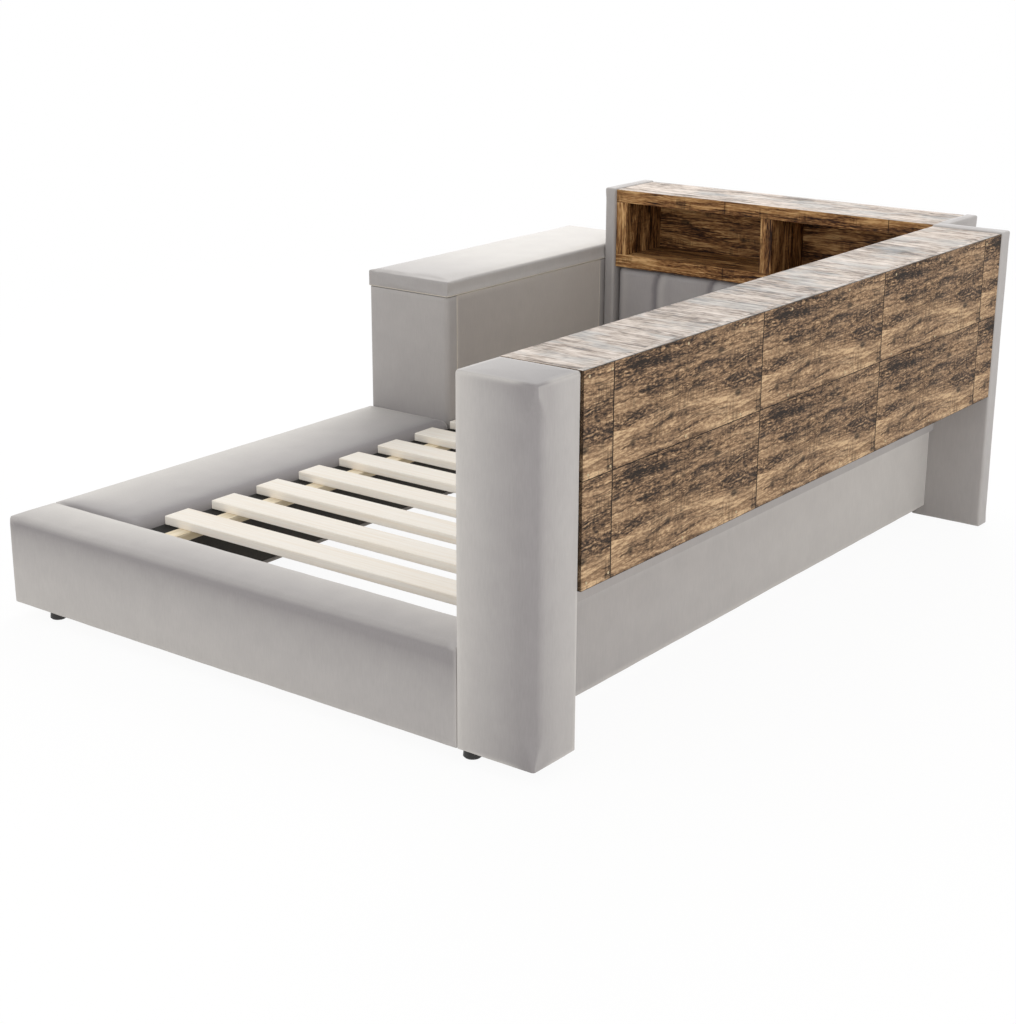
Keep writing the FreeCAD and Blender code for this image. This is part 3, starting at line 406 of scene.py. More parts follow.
# Painted light and shade: the top lighter at its outer edge and in painted shade towards the bed
# side, painted shade on the bed side's roll and over the end roll at the footboard.
points, normals = read(left_rail)
across = (points[:, 0] - low.x) / (high.x - low.x)
inner = np.exp(-(np.maximum(high.x - 12 * MM - points[:, 0], 0) / (30 * MM)) ** 1.5)
near_end = np.exp(-np.maximum(points[:, 1] - low.y - 12 * MM, 0) / (30 * MM))
upward = smooth(normals[:, 2] * 2 - 1)
keep(left_rail, "painted_shading", upward * (1.0 - 1.5 * across) * (1 - near_end) - 1.1 * inner
     - near_end * smooth((points[:, 0] - low.x) / (60 * MM)))
dress(left_rail, light_velvet, "frame", ["left_rail_cover"])


def finish_nodes(material, *names):
    """Gives CAD pieces, whose shapes stay, their material."""
    for name in names:
        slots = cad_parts[name].data.materials
        slots.clear()
        slots.append(material)


def lining_cloth():
    """Black non-woven polypropylene, pressed with a grid of small dots 2.5 mm apart."""
    material, tree, place = new_material("non-woven lining, black")
    dots = add(tree, "TexVoronoi", {
        "Vector": place, "Scale": 1 / (2.5 * MM), "Randomness": 0.15})
    fibres = add(tree, "TexNoise", {"Vector": place, "Scale": 1 / (6 * MM), "Detail": 4})
    shade = add(tree, "Mix", {"Factor": fibres, "A": "#2C2A27", "B": "#413D38"},
                data_type="RGBA")
    bump = add(tree, "Bump", {"Height": dots, "Strength": 0.3, "Distance": 0.3 * MM})
    return surfaced(material, {"Base Color": shade, "Normal": bump, "Roughness": 0.85})


finish_nodes(lining_cloth(), "left_rail_lining")


# Right rail
# A thin padded board that stands under the bookcase wall, from the post to the padded end panel.
# Its velvet is stretched flat, with small soft edges.

low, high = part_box("right_rail_cover")
right_rail = padded_box(
    "right_rail_padding", low, high, "y", radii=(2 * MM, 6 * MM, 8 * MM, 2 * MM),
    rolls=(3 * MM, 3 * MM), folded=4 * MM, waver=0.4 * MM)
# Painted light, growing towards the far end.
points = read(right_rail)[0]
keep(right_rail, "painted_shading", 0.65 * smooth((points[:, 1] - low.y) / (high.y - low.y)))
dress(right_rail, light_velvet, "frame", ["right_rail_cover"])


# Slats and what carries them
# Twelve slats of bleached pine with eased edges lie on two angles of black steel. A pine batten
# under them, inside each angle, keeps them in line.


def pine(name, pale, grain, along, flat_face_shade=1):
    """Sanded pine: pale early wood and slightly darker late wood in lines 4 to 9 mm apart.

    Sanded smooth and left without varnish, so it is matt, with short pores along the grain.
    Faces that lie flat are darkened by the factor given: painted shade on the tops.
    """
    material, tree, place = new_material(name)
    stretch = [1 / (7 * MM)] * 3
    stretch[along] = 1 / (260 * MM)
    fibre = [1 / (1.1 * MM)] * 3
    fibre[along] = 1 / (30 * MM)
    lengthways = add(tree, "Mapping", {"Vector": place, "Scale": stretch})
    lines = add(tree, "TexNoise", {
        "Vector": lengthways, "Scale": 1, "Detail": 4, "Distortion": 0.6})
    fibrous = add(tree, "Mapping", {"Vector": place, "Scale": fibre})
    pores = add(tree, "TexNoise", {"Vector": fibrous, "Scale": 1, "Detail": 2})
    late = add(tree, "MapRange", {"Value": lines, "From Min": 0.42, "From Max": 0.68})
    wood = add(tree, "Mix", {"Factor": late, "A": pale, "B": grain}, data_type="RGBA")
    pore = add(tree, "MapRange", {
        "Value": pores, "From Min": 0.3, "From Max": 0.5, "To Min": 0.955})
    # Painted shade on faces that lie flat.
    facing = add(tree, "SeparateXYZ", {"Vector": add(tree, "NewGeometry").outputs["Normal"]})
    tone = add(tree, "MapRange", {
        "Value": facing.outputs["Z"], "From Min": 0.6, "From Max": 0.9,
        "To Min": 1.0, "To Max": flat_face_shade})
    tone = add(tree, "Math", {0: tone, 1: pore}, operation="MULTIPLY")
    final = add(tree, "VectorMath", {"Vector": wood, "Scale": tone}, operation="SCALE")
    bump = add(tree, "Bump", {"Height": pores, "Strength": 0.15, "Distance": 0.2 * MM})
    return surfaced(material, {
        "Base Color": final, "Normal": bump, "Roughness": 0.75, "Specular IOR Level": 0.25})


slat_names = [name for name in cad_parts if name.startswith("slat_") and name[5:].isdigit()]
finish_nodes(pine("bleached pine, sanded, along X", "#F8F2E8", "#F4EADB", 0, flat_face_shade=0.84),
             *slat_names)
finish_nodes(pine("pine, planed, along Y", "#E6D9C0", "#D6C5A4", 1), "slat_battens")


def coated_steel():
    """Powder-coated mild steel: a fine orange-peel skin, matt, with dust in its dips."""
    material, tree, place = new_material("powder-coated steel, black")
    peel = add(tree, "TexNoise", {"Vector": place, "Scale": 1 / (1.2 * MM), "Detail": 2})
    dust = add(tree, "TexNoise", {"Vector": place, "Scale": 1 / (40 * MM), "Detail": 4})
    shade = add(tree, "Mix", {"Factor": dust, "A": "#171513", "B": "#23211E"}, data_type="RGBA")
    bump = add(tree, "Bump", {"Height": peel, "Strength": 0.3, "Distance": 0.15 * MM})
    rough = add(tree, "MapRange", {"Value": dust, "To Min": 0.72, "To Max": 0.88})
    return surfaced(material, {
        "Base Color": shade, "Normal": bump, "Roughness": rough, "Specular IOR Level": 0.15})


finish_nodes(coated_steel(), "left_ledger", "right_ledger")


# Foot post
# The tall box where the footboard meets the bookcase wall. Its outer front corner is a broad
# roll over thick foam, which runs out to a folded point at the floor and at the top. There the
# cloth leaves a small dog-ear. Its front and its outer side are full.

POST_ROLL = 45 * MM
low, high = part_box("post_cover")
post = padded_box(
    "post_padding", (low.x, low.y + BULGE, low.z), (high.x + 1 * MM, high.y, high.z), "z",
    radii=(4 * MM, POST_ROLL, 3 * MM, 3 * MM), bows=(BULGE, BULGE, 0, 0),
    rolls=(3 * MM, 7 * MM), folded=7 * MM, folding=75 * MM, drawn_sides=(1, 1, 0.3, 0.3),
    waver=0.15 * MM)
crease(post, (high.x - 5 * MM, low.y + 5 * MM, high.z - 12 * MM),
       (high.x - 52 * MM, low.y + 22 * MM, high.z), width=5 * MM, depth=2.2 * MM)
# Painted light and shade: the front lighter at its inner edge and in painted shade towards the
# roll and under the top; the outer side in painted shade just behind the roll; the top lighter at
# its inner edge. Near the roll the painted edge highlight is taken away.
points, normals = read(post)
share = (points[:, 0] - low.x) / (high.x - low.x)
from_edge = np.maximum(high.x - points[:, 0], points[:, 1] - low.y) / (40 * MM)
fade_edges(post, smooth(from_edge - 0.5))
side = smooth((normals[:, 0] - 0.78) / 0.22)
behind_roll = np.maximum(points[:, 1] - low.y - POST_ROLL, 0)
under_top = np.exp(-np.maximum(high.z - 7 * MM - points[:, 2], 0) / (20 * MM))
on_top = smooth(normals[:, 2] * 3 - 1.5)
front = (1 - side) * (0.55 - 1.7 * share - 0.3 * under_top * share)
beside = side * (0.25 - 0.6 * np.exp(-behind_roll / (45 * MM)))
keep(post, "painted_shading", (1 - on_top) * (front + beside) + on_top * (0.1 - 0.8 * share))
dress(post, light_velvet, "frame", ["post_cover"])


# Bookcase boards
# Chipboard faced with printed paper that imitates old barn wood, with the same print on its
# edges. On the outer panels the print repeats from panel to panel. On the two tops it is pale
# and pinkish, as narrow planks laid side by side: partly the print's own tone, partly a painted
# sheen.

STEPS = (0.15, 0.36, 0.5, 0.64, 0.85)
GREYED = ("#251B13", "#4F3C2D", "#745B44", "#94775A", "#C9AA85")
GOLDEN = ("#29150A", "#5B391D", "#825B37", "#A1774A", "#D2A975")
TOP_PRINT_AND_SHEEN = ("#4A3F37", "#807266", "#A39487", "#B5A79B", "#CEC2B7")
BROAD = ((320, 44, 1.05), (150, 15, 0.7), (90, 5, 0.95), (10, 3.0, 1.8))
NARROW = ((240, 30, 1.3), (140, 11, 0.8), (90, 4, 1.6), (18, 2.6, 1.3))
TOP_PRINT_AND_SHEEN_LAYERS = ((190, 42, 0.9), (110, 16, 0.9), (70, 6, 1.1), (18, 5, 0.9))
PLANK = 118
CUT = 0.12

low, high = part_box("wall_back_panels_upper")
OUTER_ARRIS = high.x / MM
CASE_TOP = high.z / MM


def top_print_and_sheen(tree, wood, parts, pale, greying):
    """The print of the faces at the level of the case's top, mixed over the wood's own.

    It is pale, partly as the print's own tone and partly as a painted sheen, with a tone of its
    own for each plank, and goes grey in patches. Along the case's outer arris it ends in a dark
    line.
    """
    plank = add(tree, "Math", {0: parts["Y"], 1: PLANK}, operation="DIVIDE")
    number = add(tree, "Math", {0: plank}, operation="FLOOR")
    own_tone = add(tree, "TexWhiteNoise", {"W": number}, noise_dimensions="1D")
    tone = add(tree, "Math", {0: own_tone, 1: 0.14, 2: pale}, operation="MULTIPLY_ADD")
    top_tone = add(tree, "ValToRGB", {"Fac": tone}, zip(STEPS, TOP_PRINT_AND_SHEEN))
    grey = add(tree, "MapRange", {
        "Value": greying, "From Min": 0.5, "From Max": 0.62, "To Max": 0.42})
    top_tone = add(tree, "Mix", {"Factor": grey, "A": top_tone, "B": "#959A9B"}, data_type="RGBA")
    arris = add(tree, "MapRange", {
        "Value": parts["X"], "From Min": OUTER_ARRIS - 4, "From Max": OUTER_ARRIS - 2,
        "To Min": 1.0, "To Max": CUT})
    top_tone = add(tree, "VectorMath", {"Vector": top_tone, "Scale": arris}, operation="SCALE")
    # The top faces take the pale tone: partly the print's own, partly painted sheen.
    on_top = add(tree, "Math", {0: parts["Z"], 1: CASE_TOP - 0.6}, operation="GREATER_THAN")
    return add(tree, "Mix", {"Factor": on_top, "A": wood, "B": top_tone}, data_type="RGBA")


def laminate(name, along, across, tones, layers, swing=14, repeat=None, knots=(), burls=(),
             print_and_sheen_top=False, joints=(), seed=0):
    """Melamine-faced board printed as old barn wood: charcoal, brown and tan along the grain.

    Places are in millimetres: along the grain, across it, and through it. The grain swings
    sideways over about 190 mm. Each layer is a noise with a length, a width and a weight, from
    broad drifts down to hair lines and grit, and their weighted sum picks the tone. The last two
    layers, the finest, are stronger where the drifts are dark. Pale ridges and dark cracks run
    where another noise passes through its middle. Saw marks 13 mm apart cross some patches. A
    knot is an oval that darkens towards its middle, and a burl is an oval of curling dark lines.
    Cut ends carry a darker band, and each joint and each repeat of the print shows as a dark cut.
    """
    material, tree, place = new_material("printed laminate, " + name)
    scaled = add(tree, "VectorMath", {"Vector": place, "Scale": 1 / MM}, operation="SCALE")
    parts = add(tree, "SeparateXYZ", {"Vector": scaled}).outputs
    run, rise = parts[along], parts[across]
    through, = set("XYZ") - {along, across}
    edges = [(run, joint, 1.2) for joint in joints]
    if repeat:
        (run_from, run_to), (rise_from, rise_to) = repeat
        run = add(tree, "Math", {0: run, 1: run_to, 2: run_from}, operation="WRAP")
        rise = add(tree, "Math", {0: rise, 1: rise_to, 2: rise_from}, operation="WRAP")
        edges += [(run, run_from, 1.8), (run, run_to, 1.8), (rise, rise_from, 1.1),
                  (rise, rise_to, 1.1)]
    grain = add(tree, "CombineXYZ", {"X": run, "Y": rise, "Z": parts[through]})
    figure = add(tree, "CombineXYZ", {"X": run, "Z": parts[through]})

    fields = [("wave", grain, 190, 70, 2, 0), ("patch", figure, 120, 34, 4, 0.3),
              ("ridge", figure, 210, 22, 3, 0.2), ("crack", figure, 150, 9, 3, 0.3),
              ("saw", grain, 6.5, 60, 1, 0), ("sawn", grain, 90, 45, 2, 0)]
    fields += [(layer, figure, layer[0], layer[1], 3, 0) for layer in layers]
    sums = [("drift", layers[:-2], 0.5), ("fine", layers[-2:], 0.0)]
    if burls:
        fields.append(("curl", grain, 20, 11, 1, 1.6))
    if print_and_sheen_top:
        fields.append(("greying", scaled, 150, 60, 4, 0.4))
        fields += [(layer, scaled, layer[0], layer[1], 3, 0) for layer in TOP_PRINT_AND_SHEEN_LAYERS]
        sums.append(("pale", TOP_PRINT_AND_SHEEN_LAYERS, 0.43))
    noise = {}
    for field, source, length, width, detail, distortion in fields:
        stretched = add(tree, "Mapping", {
            "Vector": source, "Location": (seed, seed * 1.7, seed * 0.6),
            "Scale": (1 / length, 1 / width, 1 / width)})
        noise[field] = add(tree, "TexNoise", {
            "Vector": stretched, "Scale": 1, "Detail": detail, "Distortion": distortion})
    waved = add(tree, "Math", {0: noise["wave"], 1: swing, 2: rise}, operation="MULTIPLY_ADD")
    tree.links.new(waved.outputs[0], figure.inputs["Y"])
    for field, wanted, middle in sums:
        total = middle - sum(layer[2] for layer in wanted) / 2
        for layer in wanted:
            total = add(tree, "Math", {0: noise[layer], 1: layer[2], 2: total},
                        operation="MULTIPLY_ADD")
        noise[field] = total
    line = {}
    for field, reach in (("ridge", 0.035), ("crack", 0.024), ("curl", 0.045)):
        if field in noise:
            off_middle = add(tree, "Math", {0: noise[field], 1: 0.5}, operation="SUBTRACT")
            gap = add(tree, "Math", {0: off_middle}, operation="ABSOLUTE")
            line[field] = add(tree, "MapRange", {
                "Value": gap, "From Max": reach, "To Min": 1.0, "To Max": 0.0})

    wear_and_highlight = add(tree, "MapRange", {
        "Value": noise["patch"], "From Min": 0.46, "From Max": 0.58, "To Max": 0.2})
    lined = add(tree, "MapRange", {
        "Value": noise["drift"], "From Min": 0.36, "From Max": 0.62, "To Min": 1.0, "To Max": 0.4})
    tone = add(tree, "Math", {0: line["ridge"], 1: wear_and_highlight, 2: noise["drift"]},
               operation="MULTIPLY_ADD")
    tone = add(tree, "Math", {0: noise["fine"], 1: lined, 2: tone}, operation="MULTIPLY_ADD")
    print_tones = add(tree, "ValToRGB", {"Fac": tone}, zip(STEPS, tones))

    cracked = add(tree, "MapRange", {
        "Value": noise["patch"], "From Min": 0.45, "From Max": 0.54,
        "To Min": 0.65, "To Max": 0.0})
    split = add(tree, "Math", {0: line["crack"], 1: cracked}, operation="MULTIPLY")
    saw = add(tree, "MapRange", {"Value": noise["saw"], "From Min": 0.45, "From Max": 0.6})
    sawn = add(tree, "MapRange", {
        "Value": noise["sawn"], "From Min": 0.54, "From Max": 0.62, "To Max": 0.34})
    split = add(tree, "Math", {0: saw, 1: sawn, 2: split}, operation="MULTIPLY_ADD")
    depth = add(tree, "Math", {0: 1, 1: split}, operation="SUBTRACT")
    for spot in (*knots, *burls):
        spot_run, spot_rise, length, width = spot
        oval = add(tree, "Mapping", {
            "Vector": grain, "Location": (-spot_run / length, -spot_rise / width, 0),
            "Scale": (1 / length, 1 / width, 0)})
        gap = add(tree, "VectorMath", {0: oval}, operation="LENGTH")
        rough_gap = add(tree, "Math", {0: noise["patch"], 1: 1.6, 2: gap},
                        operation="MULTIPLY_ADD")
        dark = add(tree, "MapRange", {
            "Value": rough_gap, "From Min": 1.1, "From Max": 1.8, "To Min": 0.34},
            interpolation_type="SMOOTHSTEP")
        if spot in burls:
            curls = add(tree, "Math", {0: 1, 1: line["curl"]}, operation="SUBTRACT")
            dark = add(tree, "Math", {0: curls, 1: dark}, operation="MAXIMUM")
        depth = add(tree, "Math", {0: depth, 1: dark}, operation="MULTIPLY")
    for value, edge, reach in edges:
        gap = add(tree, "Math", {0: value, 1: edge, 2: reach}, operation="COMPARE")
        dark = add(tree, "MapRange", {"Value": gap, "To Min": 1.0, "To Max": CUT})
        depth = add(tree, "Math", {0: depth, 1: dark}, operation="MULTIPLY")
    facing = add(tree, "SeparateXYZ", {"Vector": add(tree, "NewGeometry").outputs["Normal"]})
    endways = add(tree, "Math", {0: facing.outputs[along]}, operation="ABSOLUTE")
    band = add(tree, "MapRange", {
        "Value": endways, "From Min": 0.6, "From Max": 0.8, "To Min": 1.0, "To Max": 0.4})
    depth = add(tree, "Math", {0: depth, 1: band}, operation="MULTIPLY")
    wood = add(tree, "VectorMath", {"Vector": print_tones, "Scale": depth}, operation="SCALE")
    if print_and_sheen_top:
        wood = top_print_and_sheen(tree, wood, parts, noise["pale"], noise["greying"])
    bump = add(tree, "Bump", {"Height": tone, "Strength": 0.3, "Distance": 0.4 * MM})
    rough = add(tree, "MapRange", {
        "Value": noise["patch"], "From Min": 0.3, "From Max": 0.7,
        "To Min": 0.52, "To Max": 0.68})
    return surfaced(material, {
        "Base Color": wood, "Normal": bump, "Roughness": rough, "Specular IOR Level": 0.18})


low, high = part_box("headboard_top_board")
butts = [low.x / MM + 377, low.x / MM + 898]
finish_nodes(laminate("headboard fascia", "X", "Z", GOLDEN, NARROW,
                      print_and_sheen_top=True, joints=butts, seed=3.1),
             "headboard_top_board", "headboard_shelf_board")
finish_nodes(laminate("wall tops", "Y", "Z", GOLDEN, NARROW, print_and_sheen_top=True,
                      seed=8.3),
             "wall_top_board")
finish_nodes(laminate("wall shelf", "Y", "Z", GOLDEN, NARROW, seed=5.2),
             "wall_shelf_board", "wall_bottom_board", "wall_ribs")
finish_nodes(laminate("uprights", "Z", "X", GOLDEN, NARROW, seed=6.7),
             "headboard_case_ends", "headboard_dividers", "wall_case_ends", "wall_dividers")
back_knots = ((-330, 705, 20, 9), (-120, 668, 14, 8), (60, 716, 22, 8), (330, 684, 17, 10))
finish_nodes(laminate("headboard back", "X", "Z", GOLDEN, NARROW,
                      swing=24, knots=back_knots, print_and_sheen_top=True, seed=1.4),
             "headboard_back_panel", "headboard_bottom_board")


# Outer back panels
# Three equal panels between two narrow strips, in two rows, screwed on from outside. Small pale
# plastic caps cover the screws. The printed picture starts again on each panel.

END_STRIP = 100.6

low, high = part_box("wall_back_panels_upper")
first_joint = low.y / MM + END_STRIP
panel_pitch = ((high.y - low.y) / MM - 2 * END_STRIP) / 3
row_bottom = low.z / MM
row_height = row_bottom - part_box("wall_back_panels_lower")[0].z / MM
knots, burls = [
    [(first_joint + run, row_bottom + rise, length, width) for run, rise, length, width in spots]
    for spots in (((120, 138, 11, 15), (208, 66, 15, 9), (262, 150, 13, 9), (70, 40, 17, 9),
                   (470, 60, 14, 10), (395, 168, 18, 8)),
                  ((165, 112, 62, 24), (300, 120, 46, 20)))]
finish_nodes(laminate("outer panels", "Y", "Z", GREYED, BROAD, swing=26,
                      repeat=((first_joint, first_joint + panel_pitch),
                              (row_bottom, row_bottom + row_height)),
                      knots=knots, burls=burls, print_and_sheen_top=True, seed=4.9),
             "wall_back_panels_upper", "wall_back_panels_lower")


def plastic(name, shade, light, roughness):
    """Injection-moulded polypropylene: even colour, a fine spark-eroded skin, faintly cloudy."""
    material, tree, place = new_material("moulded polypropylene, " + name)
    cloud = add(tree, "TexNoise", {"Vector": place, "Scale": 1 / (9 * MM), "Detail": 3})
    skin = add(tree, "TexNoise", {"Vector": place, "Scale": 1 / (0.8 * MM)})
    tint = add(tree, "Mix", {"Factor": cloud, "A": shade, "B": light}, data_type="RGBA")
    bump = add(tree, "Bump", {"Height": skin, "Strength": 0.2, "Distance": 0.1 * MM})
    return surfaced(material, {"Base Color": tint, "Normal": bump, "Roughness": roughness})


finish_nodes(plastic("sand", "#A8946F", "#C4B290", roughness=0.5), "wall_screw_caps")


# Channelled cushions
# Stuffed panels with upright channels, stapled to a board of their own: one on the headboard
# and one on the bookcase wall. Each channel is full in the middle, and its seam bends aside
# under the rolled top edge.

CHANNEL = 190.7 * MM
FULLNESS = 12 * MM
GROOVE_DEPTH = 3 * MM
GROOVE_WIDTH = 5 * MM
SEAM_BEND = 16 * MM
COLUMN_STEP = 5 * MM
TOP_BEND = 62 * MM
EDGE_ROLL = 20 * MM
END_ROUND = 10 * MM


def channelled(name, node, axis, channels):
    """A stuffed panel: a sheet whose depth falls to a narrow groove at each seam.

    Depth = base + fullness * (1 - |2t - 1| ** 2.6) across a channel, less a bell-shaped groove
    on the seam line, which bends aside near the top. At the top and bottom edges the depth
    follows a quarter circle back to the board. The back of the sheet is flat.
    """
    low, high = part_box(node)
    across = "xy".index(axis)
    through = 1 - across
    length = high[across] - low[across]
    height = high.z - low.z
    columns = np.linspace(0, 1, int(length / COLUMN_STEP))
    rows = np.concatenate([np.linspace(0, 0.09, 14)[:-1], np.linspace(0.09, 0.91, 44),
                           np.linspace(0.91, 1, 14)[1:]])
    share, up = np.meshgrid(columns, rows)
    run, rise = share * length, up * height
    margin = (length - channels * CHANNEL) / 2
    seams = np.array([0] + [margin + CHANNEL * step for step in range(channels + 1)] + [length])
    bend = SEAM_BEND * np.clip((rise - (height - TOP_BEND)) / TOP_BEND, 0, 1) ** 2
    inner = (run > CHANNEL * 0.3) & (run < length - CHANNEL * 0.3)
    shifted = run - bend * inner
    place = np.clip(np.searchsorted(seams, shifted) - 1, 0, len(seams) - 2)
    start, end = seams[place], seams[place + 1]
    within = np.clip((shifted - start) / (end - start), 0, 1)
    gap = np.minimum(shifted - start, end - shifted)
    full = high[through] - low[through] - 13 * MM + FULLNESS * (1 - np.abs(2 * within - 1) ** 2.6)
    full -= GROOVE_DEPTH * np.exp(-(gap / GROOVE_WIDTH) ** 2)
    to_edge = np.clip(np.minimum(rise, height - rise) / EDGE_ROLL, 0, 1)
    to_end = np.clip(np.minimum(run, length - run) / END_ROUND, 0, 1)
    tuck, side = [np.sqrt(1 - (1 - near) ** 2) for near in (to_edge, to_end)]
    depth = np.maximum(full * tuck * (0.25 + 0.75 * side), 0.5 * MM)
    sheet = np.zeros(share.shape + (3,))
    sheet[..., across] = low[across] + run
    sheet[..., 2] = low.z + rise
    sheet[..., through] = high[through] - depth
    rear = sheet.copy()
    rear[..., through] = high[through]
    count, width = share.shape
    grid = np.arange(count * width).reshape(count, width)
    quads = np.stack([grid[:-1, :-1], grid[:-1, 1:], grid[1:, 1:], grid[1:, :-1]], -1)
    quads = quads.reshape(-1, 4)
    rim = np.concatenate([grid[0], grid[1:, -1], grid[-1, -2::-1], grid[-2:0:-1, 0]])
    ahead = np.roll(rim, -1)
    wall = np.stack([rim, rim + count * width, ahead + count * width, ahead], -1)
    if axis == "y":
        quads, wall = quads[:, ::-1], wall[:, ::-1]
    faces = np.concatenate([quads, quads[:, ::-1] + count * width, wall]).tolist()
    piece = new_piece(name, np.concatenate([sheet.reshape(-1, 3), rear.reshape(-1, 3)]), faces)
    # Painted shade in each seam's groove, and a band of painted light beside it.
    seam = np.exp(-(gap / (9 * MM)) ** 2).ravel()
    beside = 0.5 * np.exp(-((shifted - start - 26 * MM) / (14 * MM)) ** 2).ravel()
    keep(piece, "painted_shading", np.tile(beside - seam, 2))
    return piece


# Its darkest grey is painted shade and its palest painted light.
channel_velvet = velvet("channelled, cool grey", "#7F7B7E", "#A09C9C", "#BBB7B5")
for name, node, axis, channels in (("headboard_channels", "headboard_cushion", "x", 4),
                                   ("wall_channels", "wall_cushion", "y", 8)):
    dress(channelled(name, node, axis, channels), channel_velvet, "frame", [node])


# Padded end panels
# Boards in velvet that stand on the floor and close the ends of the wall and of the headboard.

for name, node in (("wall_end_padding", "wall_end_cover"),
                   ("headboard_left_padding", "headboard_left_end_cover"),
                   ("headboard_right_padding", "headboard_right_end_cover")):
    low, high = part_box(node)
    panel = padded_box(name, low, high, "z", radii=(8 * MM,) * 4, rolls=(3 * MM, 6 * MM),
                       folded=4 * MM, waver=0.4 * MM)
    fade_edges(panel, 0.3)
    # Painted shade on the headboard's left end panel, growing towards the floor.
    if node == "headboard_left_end_cover":
        from_top = high.z - read(panel)[0][:, 2]
        keep(panel, "painted_shading", -0.55 * smooth(from_top / (320 * MM)))
    dress(panel, light_velvet, "frame", [node])


# Storage trunk
# A board box in a velvet sleeve, open above. The sleeve's rim is turned over the boards. On the
# bed side a separate panel of the same velvet is let in, with a thin welt round it.

RIM = 2 * MM


def closed_bar(name, low, high, axis, corner, tightest, section_in, section_along, steps):
    """A closed section carried round a rectangle with quarter-circle corners, drawn in by how
    far each point of the section stands from the outer face.
    """
    u, v, a = AXES[axis]
    drawn = np.repeat(section_in[:, None], 4, 1)
    plan = outlines((low[u], low[v]), (high[u], high[v]), np.maximum(corner - drawn, tightest),
                    0 * drawn, drawn, steps)
    rings = np.zeros(plan.shape[:2] + (3,))
    rings[..., u], rings[..., v] = plan[..., 0], plan[..., 1]
    rings[..., a] = section_along[:, None]
    return new_piece(name, rings.reshape(-1, 3), bands(*plan.shape[:2], True))


def sleeve(name, node, wall, corner):
    """A wall of cloth and foam carried round a plan with rounded corners.

    The wall's section is a thin upright bar: its top is half of a flat ellipse that turns over
    the boards, and its foot is square.
    """
    low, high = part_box(node)
    turn = np.linspace(0, np.pi, 9)[1:-1]
    levels = np.linspace(low.z, high.z - RIM, 46)
    section_in = np.concatenate([levels * 0, wall / 2 - wall / 2 * np.cos(turn),
                                 levels * 0 + wall])
    section_up = np.concatenate([levels, high.z - RIM + RIM * np.sin(turn), levels[::-1]])
    piece = closed_bar(name, low, high, "z", corner, 4 * MM, section_in, section_up, (22, 64))
    mark_edges(piece, low, high)
    return piece


trunk = sleeve("trunk_padding", "trunk_cover", wall=10 * MM, corner=16 * MM)
# The painted edge highlight is mostly taken away.
fade_edges(trunk, 0.15)
low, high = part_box("trunk_side_panel")
points, normals = read(trunk)
behind_panel = ((points[:, 0] > high.x - 1 * MM) & (points[:, 1] > low.y + 6 * MM)
                & (points[:, 1] < high.y - 6 * MM) & (points[:, 2] > low.z + 6 * MM))
points[behind_panel, 0] -= 4 * MM
write(trunk, points)
# Painted shade on the foot end just above the rail, fading upwards, and on the bed side beyond the
# let-in panel.
above_rail = np.maximum(points[:, 2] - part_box("left_rail_cover")[1].z, 0)
past_panel = smooth((points[:, 1] - high.y) / (12 * MM)) * (points[:, 0] > high.x - 3 * MM)
foot_end = smooth(-2 * normals[:, 1] - 0.6)
keep(trunk, "painted_shading", -0.5 * foot_end * np.exp(-above_rail / (55 * MM)) - 0.7 * past_panel)
dress(trunk, light_velvet, "frame", ["trunk_cover"])

# A darker, warmer copy of the same velvet: its darker tone is painted shade.
shaded_side_velvet = velvet("let-in panel", "#8C8684", "#A59F9B", "#BDB7B1")
side_panel = padded_box(
    "trunk_side_padding", (low.x + 4 * MM, low.y, low.z),
    (high.x + 0.8 * MM, high.y, high.z - 0.5 * MM), "y",
    radii=(1.5 * MM, 3 * MM, 3 * MM, 1.5 * MM), rolls=(2.5 * MM, 2.5 * MM), folded=3 * MM,
    dome=0, waver=0.2 * MM)
# Painted light, growing towards the back.
points = read(side_panel)[0]
keep(side_panel, "painted_shading", 0.15 + 0.85 * (points[:, 1] - low.y) / (high.y - low.y))
dress(side_panel, shaded_side_velvet, "frame", ["trunk_side_panel"])

bias_velvet = velvet("bias-cut welt", "#A8A095", "#CDC5B8", "#DDD6CB")


def welt(name, low, high, axis, corner, level, thickness, body):
    """A thin round welt carried round a rectangle with round corners: a circle at each point."""
    turn = np.linspace(0, 2 * np.pi, 9)[:-1]
    section_in = thickness / 2 * (1 - np.cos(turn)) - thickness * 0.35
    piece = closed_bar(name, low, high, axis, corner, 1 * MM, section_in,
                       level + thickness / 2 * np.sin(turn), (64, 64))
    piece.data.materials.append(bias_velvet)
    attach(piece, body)


welt("trunk_side_welt", low, high, "x", corner=3 * MM, level=high.x + 0.2 * MM,
     thickness=2 * MM, body="frame")
finish_nodes(light_velvet, "wall_cushion_board", "headboard_cushion_board")


# Trunk lid
# A board under a foam cushion in the same velvet: crowned on top, with soft upper edges and a
# thin welt sewn round its lower edge. It turns on the piano hinge.

BOARD_MARGIN = 6 * MM
RECESS = 1.6 * MM
FRAMES = 20

low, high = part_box("lid_cushion")
lid = padded_box(
    "lid_padding", low, (high.x, high.y, high.z - CROWN), "y",
    radii=(2 * MM, 9 * MM, 9 * MM, 2 * MM), bows=(0, 1 * MM, 0, 0), rolls=(6 * MM, 6 * MM),
    folded=3.5 * MM, folding=20 * MM, drawn_sides=(0.7, 1, 0.7, 0.15))


